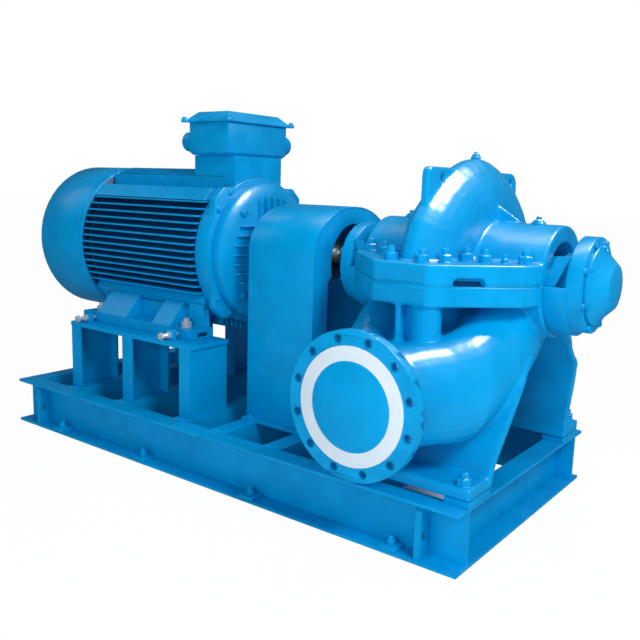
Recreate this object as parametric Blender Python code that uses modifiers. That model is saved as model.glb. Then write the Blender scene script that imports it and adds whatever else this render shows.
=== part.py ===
"""Split case pump set: a double-suction pump and its motor, coupled on one channel-steel base.

Metres, +Z up. The shaft runs along X at SHAFT_Z above the floor, the suction flange faces -Y and the
discharge flange faces +Y. The origin lies under the middle cross channel, on the shaft's centre plane.
"""

import math

import bmesh
import bpy
from mathutils import Matrix, Vector

GAP = 0.0003

SHAFT_Z = 0.765
PUMP_X = 0.705

# Base frame of rolled channels, 180 mm deep
BASE_LEFT = -1.104
BASE_RIGHT = 0.957
BASE_HALF_WIDTH = 0.4775
CHANNEL_DEPTH = 0.180
CHANNEL_FLANGE = 0.070
CHANNEL_WEB = 0.009
CHANNEL_FLANGE_THICKNESS = 0.010
CROSS_CHANNEL_EDGES = (-0.857, -0.555, -0.2244, -0.035, 0.211, 0.450)
LIFTING_PLATE_THICKNESS = 0.020
LIFTING_PLATE_INSET = 0.125

# Motor pedestals
PEDESTAL_FRONT = 0.377
PEDESTAL_BACK = 0.187
PEDESTAL_LEFT = -0.872
PEDESTAL_RIGHT = -0.166
PEDESTAL_PLATE = 0.017
PEDESTAL_TOP = 0.447
POST_WIDTH = 0.055
POST_WEB = 0.009
POST_LEFT_EDGES = (-0.868, -0.547, -0.228)

# Motor, frame size 315
FRAME_LEFT = -0.8882
FRAME_RIGHT = -0.250
FRAME_CORE = 0.262
FIN_RADIUS = 0.304
TOP_FIN_RADIUS = 0.309
FIN_PITCH = 0.0258
FIN_THICKNESS = 0.006
SIDE_FIN_LOWEST = -0.149
SIDE_FIN_COUNT = 14
TOP_FIN_HALF_COUNT = 5
PANEL_OUTER = (0.2365, 0.186)
PANEL_INNER = (0.190, 0.238)
COWL_LEFT = -1.186
COWL_RIGHT = -0.8885
COWL_RADIUS = 0.308
END_RING_RADIUS = 0.280
END_RING_RIGHT = -0.185
END_RING_EAR_START = -0.215
SHIELD_RADIUS = 0.258
SHIELD_RIGHT = -0.090
FOOT_LEFT = -0.875
FOOT_RIGHT = -0.237
FOOT_OUTER = 0.312
FOOT_INNER = 0.196
FOOT_HEIGHT = 0.038
FOOT_BRACES = ((-0.790, -0.612), (-0.460, -0.356))
FOOT_BLOCK = (-0.330, -0.256)
MOTOR_SHAFT_RADIUS = 0.040
MOTOR_SHAFT_END = 0.080

# Terminal box
BOX_CENTRE_X = -0.300
BOX_NECK_HALF = (0.106, 0.130)
BOX_BODY_HALF = (0.101, 0.163)
BOX_NECK_BOTTOM = 0.990
BOX_NECK_TOP = 1.122
BOX_BODY_TOP = 1.241
BOX_LID_TOP = 1.281

# Coupling guard
GUARD_LEFT = -0.0314
GUARD_RIGHT = 0.2593
GUARD_HALF_WIDTH = 0.228
GUARD_SPRING_Z = 0.797
GUARD_RISE = 0.157
GUARD_SHEET = 0.003
GUARD_HOLE_RADIUS = 0.130
GUARD_SLOT_HALF_WIDTH = 0.143
GUARD_SLOT_TOP = 0.700
GUARD_BAR_OUTER = 0.254
GUARD_BAR_INNER = 0.215
GUARD_BAR_THICKNESS = 0.010
COUPLING_RADIUS = 0.110

# Pump casing
BARREL_RADIUS = 0.166
BARREL_HALF_LENGTH = 0.302
BARREL_BORE_RADIUS = 0.115
BARREL_BORE_DEPTH = 0.070
VOLUTE_CROWN = 0.354
VOLUTE_ROOT = 0.166
VOLUTE_RIDGE = ((0, 0.391), (25, 0.391), (35, 0.377), (44, 0.363), (56, 0.356), (64, 0.352), (90, VOLUTE_CROWN))
VOLUTE_PROFILE = (
    (0.0125, 1.0),
    (0.030, 0.935),
    (0.048, 0.835),
    (0.063, 0.710),
    (0.075, 0.565),
    (0.083, 0.400),
    (0.087, 0.200),
    (0.089, -0.080),
)
SPLIT_TOP = 0.8256
SPLIT_BOTTOM = 0.7088
SPLIT_FLANGE_CORNERS = [(0.0845, -0.4286), (0.281, -0.230), (0.298, -0.180)]
SHAFT_RADIUS = 0.035
LUG_THICKNESS = 0.025
LUG_ROOT = 0.130
LUG_HOLE_RADIUS = 0.012
PRY_SLOT_START = 0.080
PRY_SLOT_END = 0.166
PRY_SLOT_DEPTH = 0.022
PRY_SLOT_HEIGHT = 0.022
RIB_THICKNESS = 0.012
CASING_WEB = 0.016
SUCTION_Y = -0.636
SUCTION_Z = 0.461
SUCTION_FLANGE_RADIUS = 0.2032
SUCTION_BOLT_CIRCLE = 0.181
SUCTION_BOLT_HOLE = 0.0127
SUCTION_HOLES = 12
DISCHARGE_Y = 0.541
DISCHARGE_Z = 0.4554
DISCHARGE_FLANGE_RADIUS = 0.1715
DISCHARGE_BOLT_CIRCLE = 0.14925
DISCHARGE_BOLT_HOLE = 0.0111
DISCHARGE_HOLES = 8
FLANGE_THICKNESS = 0.030
COVER_RADIUS = 0.162
DISCHARGE_COVER_RADIUS = 0.135
COVER_THICKNESS = 0.004
PAD_HALF_LENGTH = 0.252
PAD_FRONT = 0.4256
PAD_BACK = 0.285
PAD_BOTTOM = 0.1986
PAD_TOP = 0.2326
PACKING_LENGTH = 0.075
LEG_THICKNESS = 0.024

# Bearing housings, measured outward from the pump's centre plane
BRACKET_START = 0.3023
BEARING_FLANGE_START = 0.3605
BEARING_FLANGE_END = 0.404
BEARING_FLANGE_RADIUS = 0.1394
BEARING_COVER_RADIUS = 0.116
BEARING_CAP_END = 0.457
BEARING_CAP_RADIUS = 0.0656

X = Vector((1, 0, 0))
Y = Vector((0, 1, 0))
Z = Vector((0, 0, 1))


def clear_scene():
    for obj in list(bpy.data.objects):
        bpy.data.objects.remove(obj, do_unlink=True)
    for mesh in list(bpy.data.meshes):
        bpy.data.meshes.remove(mesh)


def collection(name):
    made = bpy.data.collections.new(name)
    bpy.context.scene.collection.children.link(made)
    return made


def material(name, colour, roughness, metallic=0.0):
    made = bpy.data.materials.new(name)
    made.use_nodes = True
    shader = made.node_tree.nodes["Principled BSDF"]
    shader.inputs["Base Color"].default_value = (*colour, 1.0)
    shader.inputs["Roughness"].default_value = roughness
    shader.inputs["Metallic"].default_value = metallic
    made.diffuse_color = (*colour, 1.0)
    return made


def link_mesh(name, mesh, mat=None):
    obj = bpy.data.objects.new(name, mesh)
    PARTS.objects.link(obj)
    if mat:
        mesh.materials.append(mat)
    return obj


def mesh_from(bm, name):
    bmesh.ops.recalc_face_normals(bm, faces=bm.faces)
    mesh = bpy.data.meshes.new(name)
    bm.to_mesh(mesh)
    bm.free()
    return mesh


def box(name, low, high, mat=None):
    """A block between two corners."""
    bm = bmesh.new()
    low, high = Vector(low), Vector(high)
    size = high - low
    place = Matrix.Translation((low + high) / 2) @ Matrix.Diagonal((*size, 1.0))
    bmesh.ops.create_cube(bm, size=1.0, matrix=place)
    return link_mesh(name, mesh_from(bm, name), mat)


def cylinder(name, centre, axis, radius, start, end, sides=32, mat=None):
    """A cylinder whose axis runs through centre, from start to end along it."""
    bm = bmesh.new()
    turn = Vector(axis).to_track_quat("Z", "Y").to_matrix().to_4x4()
    middle = Vector(centre) + Vector(axis) * (start + end) / 2
    bmesh.ops.create_cone(
        bm,
        cap_ends=True,
        segments=sides,
        radius1=radius,
        radius2=radius,
        depth=end - start,
        matrix=Matrix.Translation(middle) @ turn,
    )
    obj = link_mesh(name, mesh_from(bm, name), mat)
    shade_round(obj)
    return obj


def shade_round(obj):
    obj.data.shade_smooth()
    obj.data.set_sharp_from_angle(angle=math.radians(35))


def turned(name, profile, sides=40, mat=None):
    """A profile of (x, radius) points turned about the shaft's axis; x runs from left to right."""
    bm = bmesh.new()
    points = [bm.verts.new((radius, 0.0, -x)) for x, radius in profile]
    for first, second in zip(points, points[1:]):
        bm.edges.new((first, second))
    mesh = bpy.data.meshes.new(name)
    bm.to_mesh(mesh)
    bm.free()
    obj = link_mesh(name, mesh, mat)
    screw = obj.modifiers.new("Screw", "SCREW")
    screw.axis = "Z"
    screw.angle = math.radians(360)
    screw.steps = sides
    screw.render_steps = sides
    screw.use_merge_vertices = True
    screw.merge_threshold = 0.0001
    screw.use_smooth_shade = False
    obj.matrix_world = Matrix.Translation((0, 0, SHAFT_Z)) @ Matrix.Rotation(math.radians(-90), 4, "Y")
    return obj


def prism(name, outlines, origin, across, up, start, end, mat=None):
    """Closed outlines in the plane of across and up, extruded from start to end along their normal."""
    curve = bpy.data.curves.new(name, "CURVE")
    curve.dimensions = "2D"
    curve.fill_mode = "BOTH"
    curve.extrude = (end - start) / 2
    for outline in outlines:
        spline = curve.splines.new("POLY")
        spline.points.add(len(outline) - 1)
        for point, (u, v) in zip(spline.points, outline):
            point.co = (u, v, 0.0, 1.0)
        spline.use_cyclic_u = True
    across, up = Vector(across), Vector(up)
    normal = across.cross(up)
    frame = Matrix((across, up, normal)).transposed().to_4x4()
    middle = Vector(origin) + normal * (start + end) / 2
    guide = bpy.data.objects.new(name + "_outline", curve)
    PARTS.objects.link(guide)
    guide.matrix_world = Matrix.Translation(middle) @ frame
    bpy.context.view_layer.update()
    graph = bpy.context.evaluated_depsgraph_get()
    mesh = bpy.data.meshes.new_from_object(guide.evaluated_get(graph))
    bm = bmesh.new()
    bm.from_mesh(mesh)
    bmesh.ops.remove_doubles(bm, verts=bm.verts, dist=0.00001)
    bmesh.ops.transform(bm, matrix=guide.matrix_world, verts=bm.verts)
    bpy.data.meshes.remove(mesh)
    bpy.data.objects.remove(guide, do_unlink=True)
    return link_mesh(name, mesh_from(bm, name), mat)


def loft(name, rings, mat=None):
    """A closed solid through rings of points, each ring with the same number of points."""
    bm = bmesh.new()
    loops = [[bm.verts.new(point) for point in ring] for ring in rings]
    for near, far in zip(loops, loops[1:]):
        for index in range(len(near)):
            following = (index + 1) % len(near)
            bm.faces.new((near[index], near[following], far[following], far[index]))
    bmesh.ops.triangulate(bm, faces=bm.faces)
    bm.faces.new(loops[0])
    bm.faces.new(loops[-1])
    obj = link_mesh(name, mesh_from(bm, name), mat)
    shade_round(obj)
    return obj


def shape_with(target, others, operation):
    for other in others:
        modifier = target.modifiers.new(operation.title(), "BOOLEAN")
        modifier.operation = operation
        modifier.object = other
        for holder in list(other.users_collection):
            holder.objects.unlink(other)
        SHAPERS.objects.link(other)
        other.hide_render = True
        other.display_type = "WIRE"
    return target


def joined(target, *others):
    return shape_with(target, others, "UNION")


def cut(target, *others):
    return shape_with(target, others, "DIFFERENCE")


def arc(centre, radius, first, last, count):
    """Points along an arc, angles in degrees."""
    points = []
    for index in range(count + 1):
        angle = math.radians(first + (last - first) * index / count)
        points.append((centre[0] + radius * math.cos(angle), centre[1] + radius * math.sin(angle)))
    return points


def channel_section(depth, flange, web, thickness):
    """A channel with its web on v = 0..web standing along u, and its flanges pointing to +v."""
    return [
        (0, 0),
        (depth, 0),
        (depth, flange),
        (depth - thickness, flange),
        (depth - thickness, web),
        (thickness, web),
        (thickness, flange),
        (0, flange),
    ]


def rolled_section():
    return channel_section(CHANNEL_DEPTH, CHANNEL_FLANGE, CHANNEL_WEB, CHANNEL_FLANGE_THICKNESS)


def side_name(side):
    return "front" if side < 0 else "rear"


def base_beam(side):
    """A long side beam, flanges outward, with a lifting plate near each end."""
    name = "base_beam_" + side_name(side)
    web_y = side * (BASE_HALF_WIDTH - CHANNEL_FLANGE)
    if side > 0:
        beam = prism(name, [rolled_section()], (0, web_y, 0), Z, Y, -BASE_RIGHT, -BASE_LEFT, BLUE)
    else:
        beam = prism(name, [rolled_section()], (0, web_y, 0), Z, -Y, BASE_LEFT, BASE_RIGHT, BLUE)
    inside = CHANNEL_FLANGE_THICKNESS - 0.002
    reach = CHANNEL_FLANGE - 0.006
    bottom, top = inside, CHANNEL_DEPTH - inside
    chamfer = 0.018
    root = CHANNEL_WEB - 0.002
    outline = [
        (root, bottom),
        (reach, bottom),
        (reach, top - chamfer),
        (reach - chamfer, top),
        (root, top),
    ]
    hole = arc((0.042, 0.078), 0.016, 0, 330, 11)
    across = Y * side
    normal = across.cross(Z)
    plates = []
    for end, place in enumerate((BASE_LEFT + LIFTING_PLATE_INSET, BASE_RIGHT - LIFTING_PLATE_INSET)):
        along = place * normal.x
        half = LIFTING_PLATE_THICKNESS / 2
        plate = prism(
            f"{name}_plate_{end}", [outline, hole], (0, web_y, 0), across, Z, along - half, along + half
        )
        plates.append(plate)
    return joined(beam, *plates)


def base_end_channel(end):
    """A channel across each end, set in from the beams' ends with its flanges outward."""
    name = "base_end_channel_" + ("left" if end < 0 else "right")
    half = BASE_HALF_WIDTH - CHANNEL_FLANGE - GAP
    if end > 0:
        web_x = BASE_RIGHT - CHANNEL_FLANGE
        return prism(name, [rolled_section()], (web_x, 0, 0), Z, X, -half, half, BLUE)
    web_x = BASE_LEFT + CHANNEL_FLANGE
    return prism(name, [rolled_section()], (web_x, 0, 0), Z, -X, -half, half, BLUE)


def base_cross_channel(number, left_edge):
    """A channel between the beams, its web on the side towards the pump."""
    name = f"base_cross_channel_{number}"
    half = BASE_HALF_WIDTH - CHANNEL_FLANGE - GAP
    web_x = left_edge + CHANNEL_FLANGE
    return prism(name, [rolled_section()], (web_x, 0, 0), Z, -X, -half, half, BLUE)


def motor_pedestal(side):
    """Three channel posts under one top plate."""
    name = "motor_pedestal_" + side_name(side)
    front, back = side * PEDESTAL_FRONT, side * PEDESTAL_BACK
    low_y, high_y = min(front, back), max(front, back)
    bottom, plate_bottom = CHANNEL_DEPTH + GAP, PEDESTAL_TOP - PEDESTAL_PLATE
    plate = box(
        name, (PEDESTAL_LEFT, low_y, plate_bottom), (PEDESTAL_RIGHT, high_y, PEDESTAL_TOP), BLUE
    )
    section = channel_section(high_y - low_y, POST_WIDTH, POST_WEB, POST_WEB)
    posts = []
    for number, left_edge in enumerate(POST_LEFT_EDGES):
        last = number == len(POST_LEFT_EDGES) - 1
        if last:
            origin, opening = (left_edge + POST_WIDTH, high_y, 0), -X
            across = -Y
        else:
            origin, opening = (left_edge, low_y, 0), X
            across = Y
        up = across.cross(opening)
        start, end = sorted((bottom * up.z, (plate_bottom + 0.002) * up.z))
        posts.append(prism(f"{name}_post_{number}", [section], origin, across, opening, start, end))
    return joined(plate, *posts)


def frame_section():
    """Half of the finned frame's outline, from the bottom fin round the +Y side to the top fin."""
    half_fin = FIN_THICKNESS / 2
    points = []

    def core_height(y):
        return math.sqrt(FRAME_CORE**2 - y**2)

    for index in range(TOP_FIN_HALF_COUNT + 1):
        y = index * FIN_PITCH
        tip = math.sqrt(TOP_FIN_RADIUS**2 - (y + half_fin) ** 2)
        for edge in (y - half_fin, y + half_fin):
            if index == 0 and edge < 0:
                continue
            pair = [(edge, -core_height(edge)), (edge, -tip)]
            points.extend(pair if edge < y else pair[::-1])
    points.extend([(PANEL_INNER[0], -PANEL_INNER[1]), (PANEL_OUTER[0], -PANEL_OUTER[1])])
    for index in range(SIDE_FIN_COUNT):
        z = SIDE_FIN_LOWEST + index * FIN_PITCH
        tip = math.sqrt(FIN_RADIUS**2 - (abs(z) + half_fin) ** 2)
        for edge in (z - half_fin, z + half_fin):
            root = math.sqrt(FRAME_CORE**2 - edge**2)
            pair = [(root, edge), (tip, edge)]
            points.extend(pair if edge < z else pair[::-1])
    points.extend([(PANEL_OUTER[0], PANEL_OUTER[1] + 0.006), (PANEL_INNER[0], PANEL_INNER[1])])
    for index in range(TOP_FIN_HALF_COUNT, -1, -1):
        y = index * FIN_PITCH
        tip = math.sqrt(TOP_FIN_RADIUS**2 - (y + half_fin) ** 2)
        for edge in (y + half_fin, y - half_fin):
            if index == 0 and edge < 0:
                continue
            pair = [(edge, core_height(edge)), (edge, tip)]
            points.extend(pair if edge > y else pair[::-1])
    return points


def motor_frame():
    """The finned stator frame."""
    half = frame_section()
    outline = half + [(-y, z) for y, z in reversed(half)]
    return prism("motor_frame", [outline], (0, 0, SHAFT_Z), Y, Z, FRAME_LEFT, FRAME_RIGHT, BLUE)


def motor_end_ring():
    """The smooth band past the fins, with four flat ears that the shield bolts to."""
    ring = cylinder(
        "motor_end_ring",
        (0, 0, SHAFT_Z),
        X,
        END_RING_RADIUS,
        FRAME_RIGHT + GAP,
        END_RING_RIGHT,
        48,
        mat=BLUE,
    )
    outline = [(0.10, 0.10), (0.24, 0.14), (0.24, 0.20), (0.195, 0.24), (0.105, 0.24)]
    ears = []
    for across in (-1, 1):
        for up in (-1, 1):
            corner = [(across * y, up * z) for y, z in outline]
            ears.append(
                prism(
                    f"motor_end_ear_{across}_{up}",
                    [corner],
                    (0, 0, SHAFT_Z),
                    Y,
                    Z,
                    END_RING_EAR_START,
                    END_RING_RIGHT,
                )
            )
    return joined(ring, *ears)


def lower_panel_height(y):
    """Height of the frame's lower corner panel at a distance y from the shaft's centre plane."""
    share = (y - PANEL_INNER[0]) / (PANEL_OUTER[0] - PANEL_INNER[0])
    return SHAFT_Z - PANEL_INNER[1] - share * (PANEL_OUTER[1] - PANEL_INNER[1])


def motor_foot(side):
    """A foot rail with two wide braces and a block that rise to the frame."""
    name = "motor_foot_" + side_name(side)
    bottom = PEDESTAL_TOP + GAP
    top = bottom + FOOT_HEIGHT
    low_y, high_y = sorted((side * FOOT_OUTER, side * FOOT_INNER))
    rail = box(name, (FOOT_LEFT, low_y, bottom), (FOOT_RIGHT, high_y, top), BLUE)
    foot_z = top - 0.002
    seat = []
    for y in (PANEL_OUTER[0] - 0.006, PANEL_INNER[0] + 0.006):
        seat.append((y, lower_panel_height(y) - 1.5 * GAP))
    sloped = [(FOOT_INNER, foot_z), (FOOT_OUTER - 0.004, foot_z)] + seat
    upright = [(FOOT_INNER, foot_z), (0.232, foot_z)] + seat
    across = Y * side
    normal = across.cross(Z)
    shapes = [(sloped, span) for span in FOOT_BRACES] + [(upright, FOOT_BLOCK)]
    braces = []
    for number, (outline, (first, last)) in enumerate(shapes):
        start, end = sorted((first * normal.x, last * normal.x))
        braces.append(prism(f"{name}_brace_{number}", [outline], (0, 0, 0), across, Z, start, end))
    return joined(rail, *braces)


def motor_fan_cover():
    """The fan cover: a drum with a rounded rim at its inlet end."""
    profile = [
        (COWL_LEFT, 0.0),
        (COWL_LEFT, COWL_RADIUS - 0.022),
        (COWL_LEFT + 0.006, COWL_RADIUS - 0.007),
        (COWL_LEFT + 0.020, COWL_RADIUS),
        (COWL_RIGHT, COWL_RADIUS),
        (COWL_RIGHT, 0.0),
    ]
    return turned("motor_fan_cover", profile, 48, BLUE)


def motor_end_shield():
    """The drive-end shield: flat rim, dished face and raised bearing hub."""
    start = END_RING_RIGHT + GAP
    profile = [
        (start, 0.0),
        (start, SHIELD_RADIUS),
        (start + 0.035, SHIELD_RADIUS),
        (start + 0.044, SHIELD_RADIUS - 0.012),
        (start + 0.056, 0.215),
        (start + 0.062, 0.125),
        (SHIELD_RIGHT - 0.004, 0.118),
        (SHIELD_RIGHT, 0.112),
        (SHIELD_RIGHT, 0.0),
    ]
    return turned("motor_end_shield_drive", profile, 48, BLUE)


def motor_shaft():
    return cylinder(
        "motor_shaft",
        (0, 0, SHAFT_Z),
        X,
        MOTOR_SHAFT_RADIUS,
        SHIELD_RIGHT + GAP,
        MOTOR_SHAFT_END,
        24,
        mat=STEEL,
    )


def terminal_box_neck():
    """The neck that seats on the frame's top fins."""
    bottom = BOX_NECK_BOTTOM
    neck = box(
        "terminal_box_neck",
        (BOX_CENTRE_X - BOX_NECK_HALF[0], -BOX_NECK_HALF[1], bottom),
        (BOX_CENTRE_X + BOX_NECK_HALF[0], BOX_NECK_HALF[1], BOX_NECK_TOP),
        BLUE,
    )
    centre = (0, 0, SHAFT_Z)
    over_fins = cylinder(
        "terminal_box_saddle", centre, X, TOP_FIN_RADIUS + 2 * GAP, FRAME_LEFT, FRAME_RIGHT + GAP, 96
    )
    over_band = cylinder(
        "terminal_box_band_saddle", centre, X, END_RING_RADIUS + 2 * GAP, FRAME_LEFT, 0.0, 96
    )
    return cut(neck, over_fins, over_band)


def terminal_box_body():
    half_x, half_y = BOX_BODY_HALF
    low = BOX_NECK_TOP + GAP
    rings = []
    for z, shrink in ((low, 0.010), (low + 0.010, 0.0), (BOX_BODY_TOP, 0.0)):
        rings.append(rectangle(BOX_CENTRE_X, half_x - shrink, half_y - shrink, z))
    body = loft("terminal_box_body", rings, BLUE)
    centre = (BOX_CENTRE_X, 0, (low + BOX_BODY_TOP) / 2 - 0.005)
    rear = cylinder("terminal_box_boss_rear", centre, Y, 0.038, half_y - 0.002, half_y + 0.012, 24)
    left = cylinder("terminal_box_boss_left", centre, -X, 0.038, half_x - 0.002, half_x + 0.012, 24)
    return joined(body, rear, left)


def rectangle(centre_x, half_x, half_y, z):
    return [
        (centre_x - half_x, -half_y, z),
        (centre_x + half_x, -half_y, z),
        (centre_x + half_x, half_y, z),
        (centre_x - half_x, half_y, z),
    ]


def terminal_box_lid():
    half_x, half_y = BOX_BODY_HALF[0] + 0.010, BOX_BODY_HALF[1] + 0.010
    low = BOX_BODY_TOP + GAP
    rings = []
    for z, shrink in ((low, 0.0), (low + 0.008, 0.0), (BOX_LID_TOP, 0.034)):
        rings.append(rectangle(BOX_CENTRE_X, half_x - shrink, half_y - shrink, z))
    lid = loft("terminal_box_lid", rings, BLUE)
    ears = []
    for sign_x in (-1, 1):
        for sign_y in (-1, 1):
            centre = (BOX_CENTRE_X + sign_x * (half_x + 0.002), sign_y * (half_y + 0.002), 0)
            ears.append(
                cylinder(f"terminal_box_ear_{sign_x}_{sign_y}", centre, Z, 0.014, low, low + 0.012, 12)
            )
    return joined(lid, *ears)


def guard_arch(half_width, spring, rise, count=20):
    points = []
    for index in range(count + 1):
        angle = math.pi * index / count
        points.append((half_width * math.cos(angle), spring + rise * math.sin(angle)))
    return points


def coupling_guard_shell():
    """A bent sheet open at the bottom, with its feet turned inward on the bars."""
    foot = CHANNEL_DEPTH + GUARD_BAR_THICKNESS + 2 * GAP
    inner_half = GUARD_HALF_WIDTH - GUARD_SHEET
    outer = guard_arch(GUARD_HALF_WIDTH, GUARD_SPRING_Z, GUARD_RISE)
    inner = guard_arch(inner_half, GUARD_SPRING_Z, GUARD_RISE - GUARD_SHEET)
    outline = [(GUARD_HALF_WIDTH, foot)] + outer + [(-GUARD_HALF_WIDTH, foot)]
    outline += [(-inner_half, foot)] + inner[::-1] + [(inner_half, foot)]
    return prism(
        "coupling_guard_shell", [outline], (0, 0, 0), Y, Z, GUARD_LEFT, GUARD_RIGHT, BLUE
    )


def guard_end_plate(name, left, right):
    """An end plate inside the bent sheet, with a round hole that runs out into a slot below."""
    foot = CHANNEL_DEPTH + GUARD_BAR_THICKNESS + 2 * GAP
    half = GUARD_HALF_WIDTH - GUARD_SHEET - GAP
    arch = guard_arch(half, GUARD_SPRING_Z, GUARD_RISE - GUARD_SHEET - GAP)
    shoulder = GUARD_SLOT_TOP
    hole = arc((0, SHAFT_Z), GUARD_HOLE_RADIUS, 200, -20, 22)
    outline = [(half, foot)] + arch + [(-half, foot)]
    outline += [(-GUARD_SLOT_HALF_WIDTH, foot), (-GUARD_SLOT_HALF_WIDTH, shoulder)]
    outline += hole
    outline += [(GUARD_SLOT_HALF_WIDTH, shoulder), (GUARD_SLOT_HALF_WIDTH, foot)]
    return prism(name, [outline], (0, 0, 0), Y, Z, left, right, BLUE)


def guard_support_bar(side):
    """A flat bar between two cross channels that carries the guard's side."""
    low_y, high_y = sorted((side * GUARD_BAR_OUTER, side * GUARD_BAR_INNER))
    bottom = CHANNEL_DEPTH + GAP
    return box(
        "guard_support_bar_" + side_name(side),
        (CROSS_CHANNEL_EDGES[3] + 0.002, low_y, bottom),
        (CROSS_CHANNEL_EDGES[4] + CHANNEL_FLANGE - 0.002, high_y, bottom + GUARD_BAR_THICKNESS),
        BLUE,
    )


def coupling_hub(name, start, end, flange_at_end, bore):
    """A coupling half: a hub with a wide flange at the meeting face, bored for its shaft."""
    hub_radius, flange = 0.068, 0.040
    if flange_at_end:
        steps = [(start, hub_radius), (end - flange, hub_radius), (end - flange, COUPLING_RADIUS)]
        steps.append((end, COUPLING_RADIUS))
    else:
        steps = [(start, COUPLING_RADIUS), (start + flange, COUPLING_RADIUS)]
        steps += [(start + flange, hub_radius), (end, hub_radius)]
    profile = [(start, bore)] + steps + [(end, bore), (start, bore)]
    return turned(name, profile, 32, STEEL)


def pump_shaft():
    start = MOTOR_SHAFT_END + 0.010
    end = PUMP_X + BEARING_FLANGE_END - 0.002
    return cylinder(
        "pump_shaft", (0, 0, SHAFT_Z), X, SHAFT_RADIUS, start, end, 24, mat=STEEL
    )


def casing_barrels(name):
    """The barrel shared by both casing halves."""
    centre = (PUMP_X, 0, SHAFT_Z)
    return cylinder(name, centre, X, BARREL_RADIUS, -BARREL_HALF_LENGTH, BARREL_HALF_LENGTH, 46, BLUE)


def ridge_radius(angle):
    """Radius of the volute's ridge; the angle is in degrees from the split plane, 0 to 90."""
    for (first, low), (last, high) in zip(VOLUTE_RIDGE, VOLUTE_RIDGE[1:]):
        if angle <= last:
            return low + (high - low) * (angle - first) / (last - first)
    return VOLUTE_CROWN


def volute(name, count=48):
    """The volute round the impeller: fuller at the sides than at the crown, with a ridge at its middle."""
    stations = [(-offset, share) for offset, share in reversed(VOLUTE_PROFILE)]
    stations += VOLUTE_PROFILE
    rings = []
    for offset, share in stations:
        ring = []
        for index in range(count):
            angle = 360 * (index + 0.5) / count
            folded = abs((angle + 90) % 180 - 90)
            radius = VOLUTE_ROOT + share * (ridge_radius(folded) - VOLUTE_ROOT)
            turn = math.radians(angle)
            ring.append(
                (PUMP_X + offset, radius * math.cos(turn), SHAFT_Z + radius * math.sin(turn))
            )
        rings.append(ring)
    return loft(name, rings)


def split_flange_outline():
    right = SPLIT_FLANGE_CORNERS + [(x, -y) for x, y in reversed(SPLIT_FLANGE_CORNERS)]
    left = [(-x, y) for x, y in reversed(right)]
    return [(PUMP_X + x, y) for x, y in right + left]


def casing_cutters(name):
    """The shaft's bore and the stuffing-box bore at each end of the barrels."""
    centre = (PUMP_X, 0, SHAFT_Z)
    shaft = cylinder(
        f"{name}_shaft_bore", centre, X, SHAFT_RADIUS + 0.001, -0.4, 0.4, 24
    )
    depth = BARREL_HALF_LENGTH - BARREL_BORE_DEPTH
    left = cylinder(
        f"{name}_left_bore", centre, X, BARREL_BORE_RADIUS, -BARREL_HALF_LENGTH - 0.05, -depth, 32
    )
    right = cylinder(
        f"{name}_right_bore", centre, X, BARREL_BORE_RADIUS, depth, BARREL_HALF_LENGTH + 0.05, 32
    )
    return shaft, left, right


def pry_slot(side):
    """The cutter of the slot between the halves, on the flange's slanted edge at one corner."""
    first, second = (Vector((*corner, 0)) for corner in SPLIT_FLANGE_CORNERS[:2])
    along = (second - first).normalized()
    inward = Z.cross(along)
    outline = [(PRY_SLOT_START, -0.02), (PRY_SLOT_END, -0.02)]
    outline += [(PRY_SLOT_END, PRY_SLOT_DEPTH), (PRY_SLOT_START, PRY_SLOT_DEPTH)]
    corner = Matrix.Diagonal((side, side, 1)) @ first + PUMP_X * X
    low, high = SHAFT_Z - 0.04, SHAFT_Z + PRY_SLOT_HEIGHT
    return prism(f"casing_pry_slot_{side}", [outline], corner, side * along, side * inward, low, high)


def casing_upper():
    """The lift-off upper half: volute crown, barrels, split flange and two lifting lugs."""
    body = casing_barrels("casing_upper")
    flange = prism(
        "casing_upper_flange",
        [split_flange_outline()],
        (0, 0, 0),
        X,
        Y,
        SHAFT_Z - 0.02,
        SPLIT_TOP,
    )
    plates = []
    half = LUG_THICKNESS / 2
    for side, outer, top, corner, hole_at in (
        (-1, 0.310, 1.087, 0.020, (0.228, 1.055)),
        (1, 0.300, 1.082, 0.045, (0.250, 1.050)),
    ):
        shape = [(LUG_ROOT, 0.80), (0.360, 0.80), (outer, 0.98)]
        shape += arc((outer - corner, top - corner), corner, 0, 90, 4)
        shape += [(LUG_ROOT, top)]
        hole = arc(hole_at, LUG_HOLE_RADIUS, 0, 330, 11)
        plates.append(
            prism(
                f"casing_upper_lug_{side}",
                [shape, hole],
                (PUMP_X, 0, 0),
                Y * side,
                Z,
                -half,
                half,
            )
        )
    ribs = []
    for side in (-1, 1):
        shape = [(0.060, 0.915), (0.060, 1.000), (0.085, 0.983), (0.168, 0.932), (0.168, 0.915)]
        outline = [(PUMP_X + side * offset, z) for offset, z in shape]
        thick = RIB_THICKNESS / 2
        ribs.append(prism(f"casing_upper_rib_{side}", [outline], (0, 0, 0), X, Z, -thick, thick))
    joined(body, flange, volute("casing_upper_volute"), *plates, *ribs)
    below = box("casing_upper_trim", (0.2, -0.6, 0.2), (1.2, 0.6, SHAFT_Z + GAP / 2))
    slots = [pry_slot(-1), pry_slot(1)]
    return cut(body, below, *slots, *casing_cutters("casing_upper"))


def ellipse_ring(y, centre_z, half_x, half_z, shift=0.0, count=32):
    """A ring of points across the Y axis, its centre shifted along X from the pump's middle."""
    ring = []
    for index in range(count):
        angle = 2 * math.pi * index / count
        x = PUMP_X + shift + half_x * math.cos(angle)
        ring.append((x, y, centre_z + half_z * math.sin(angle)))
    return ring


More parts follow.
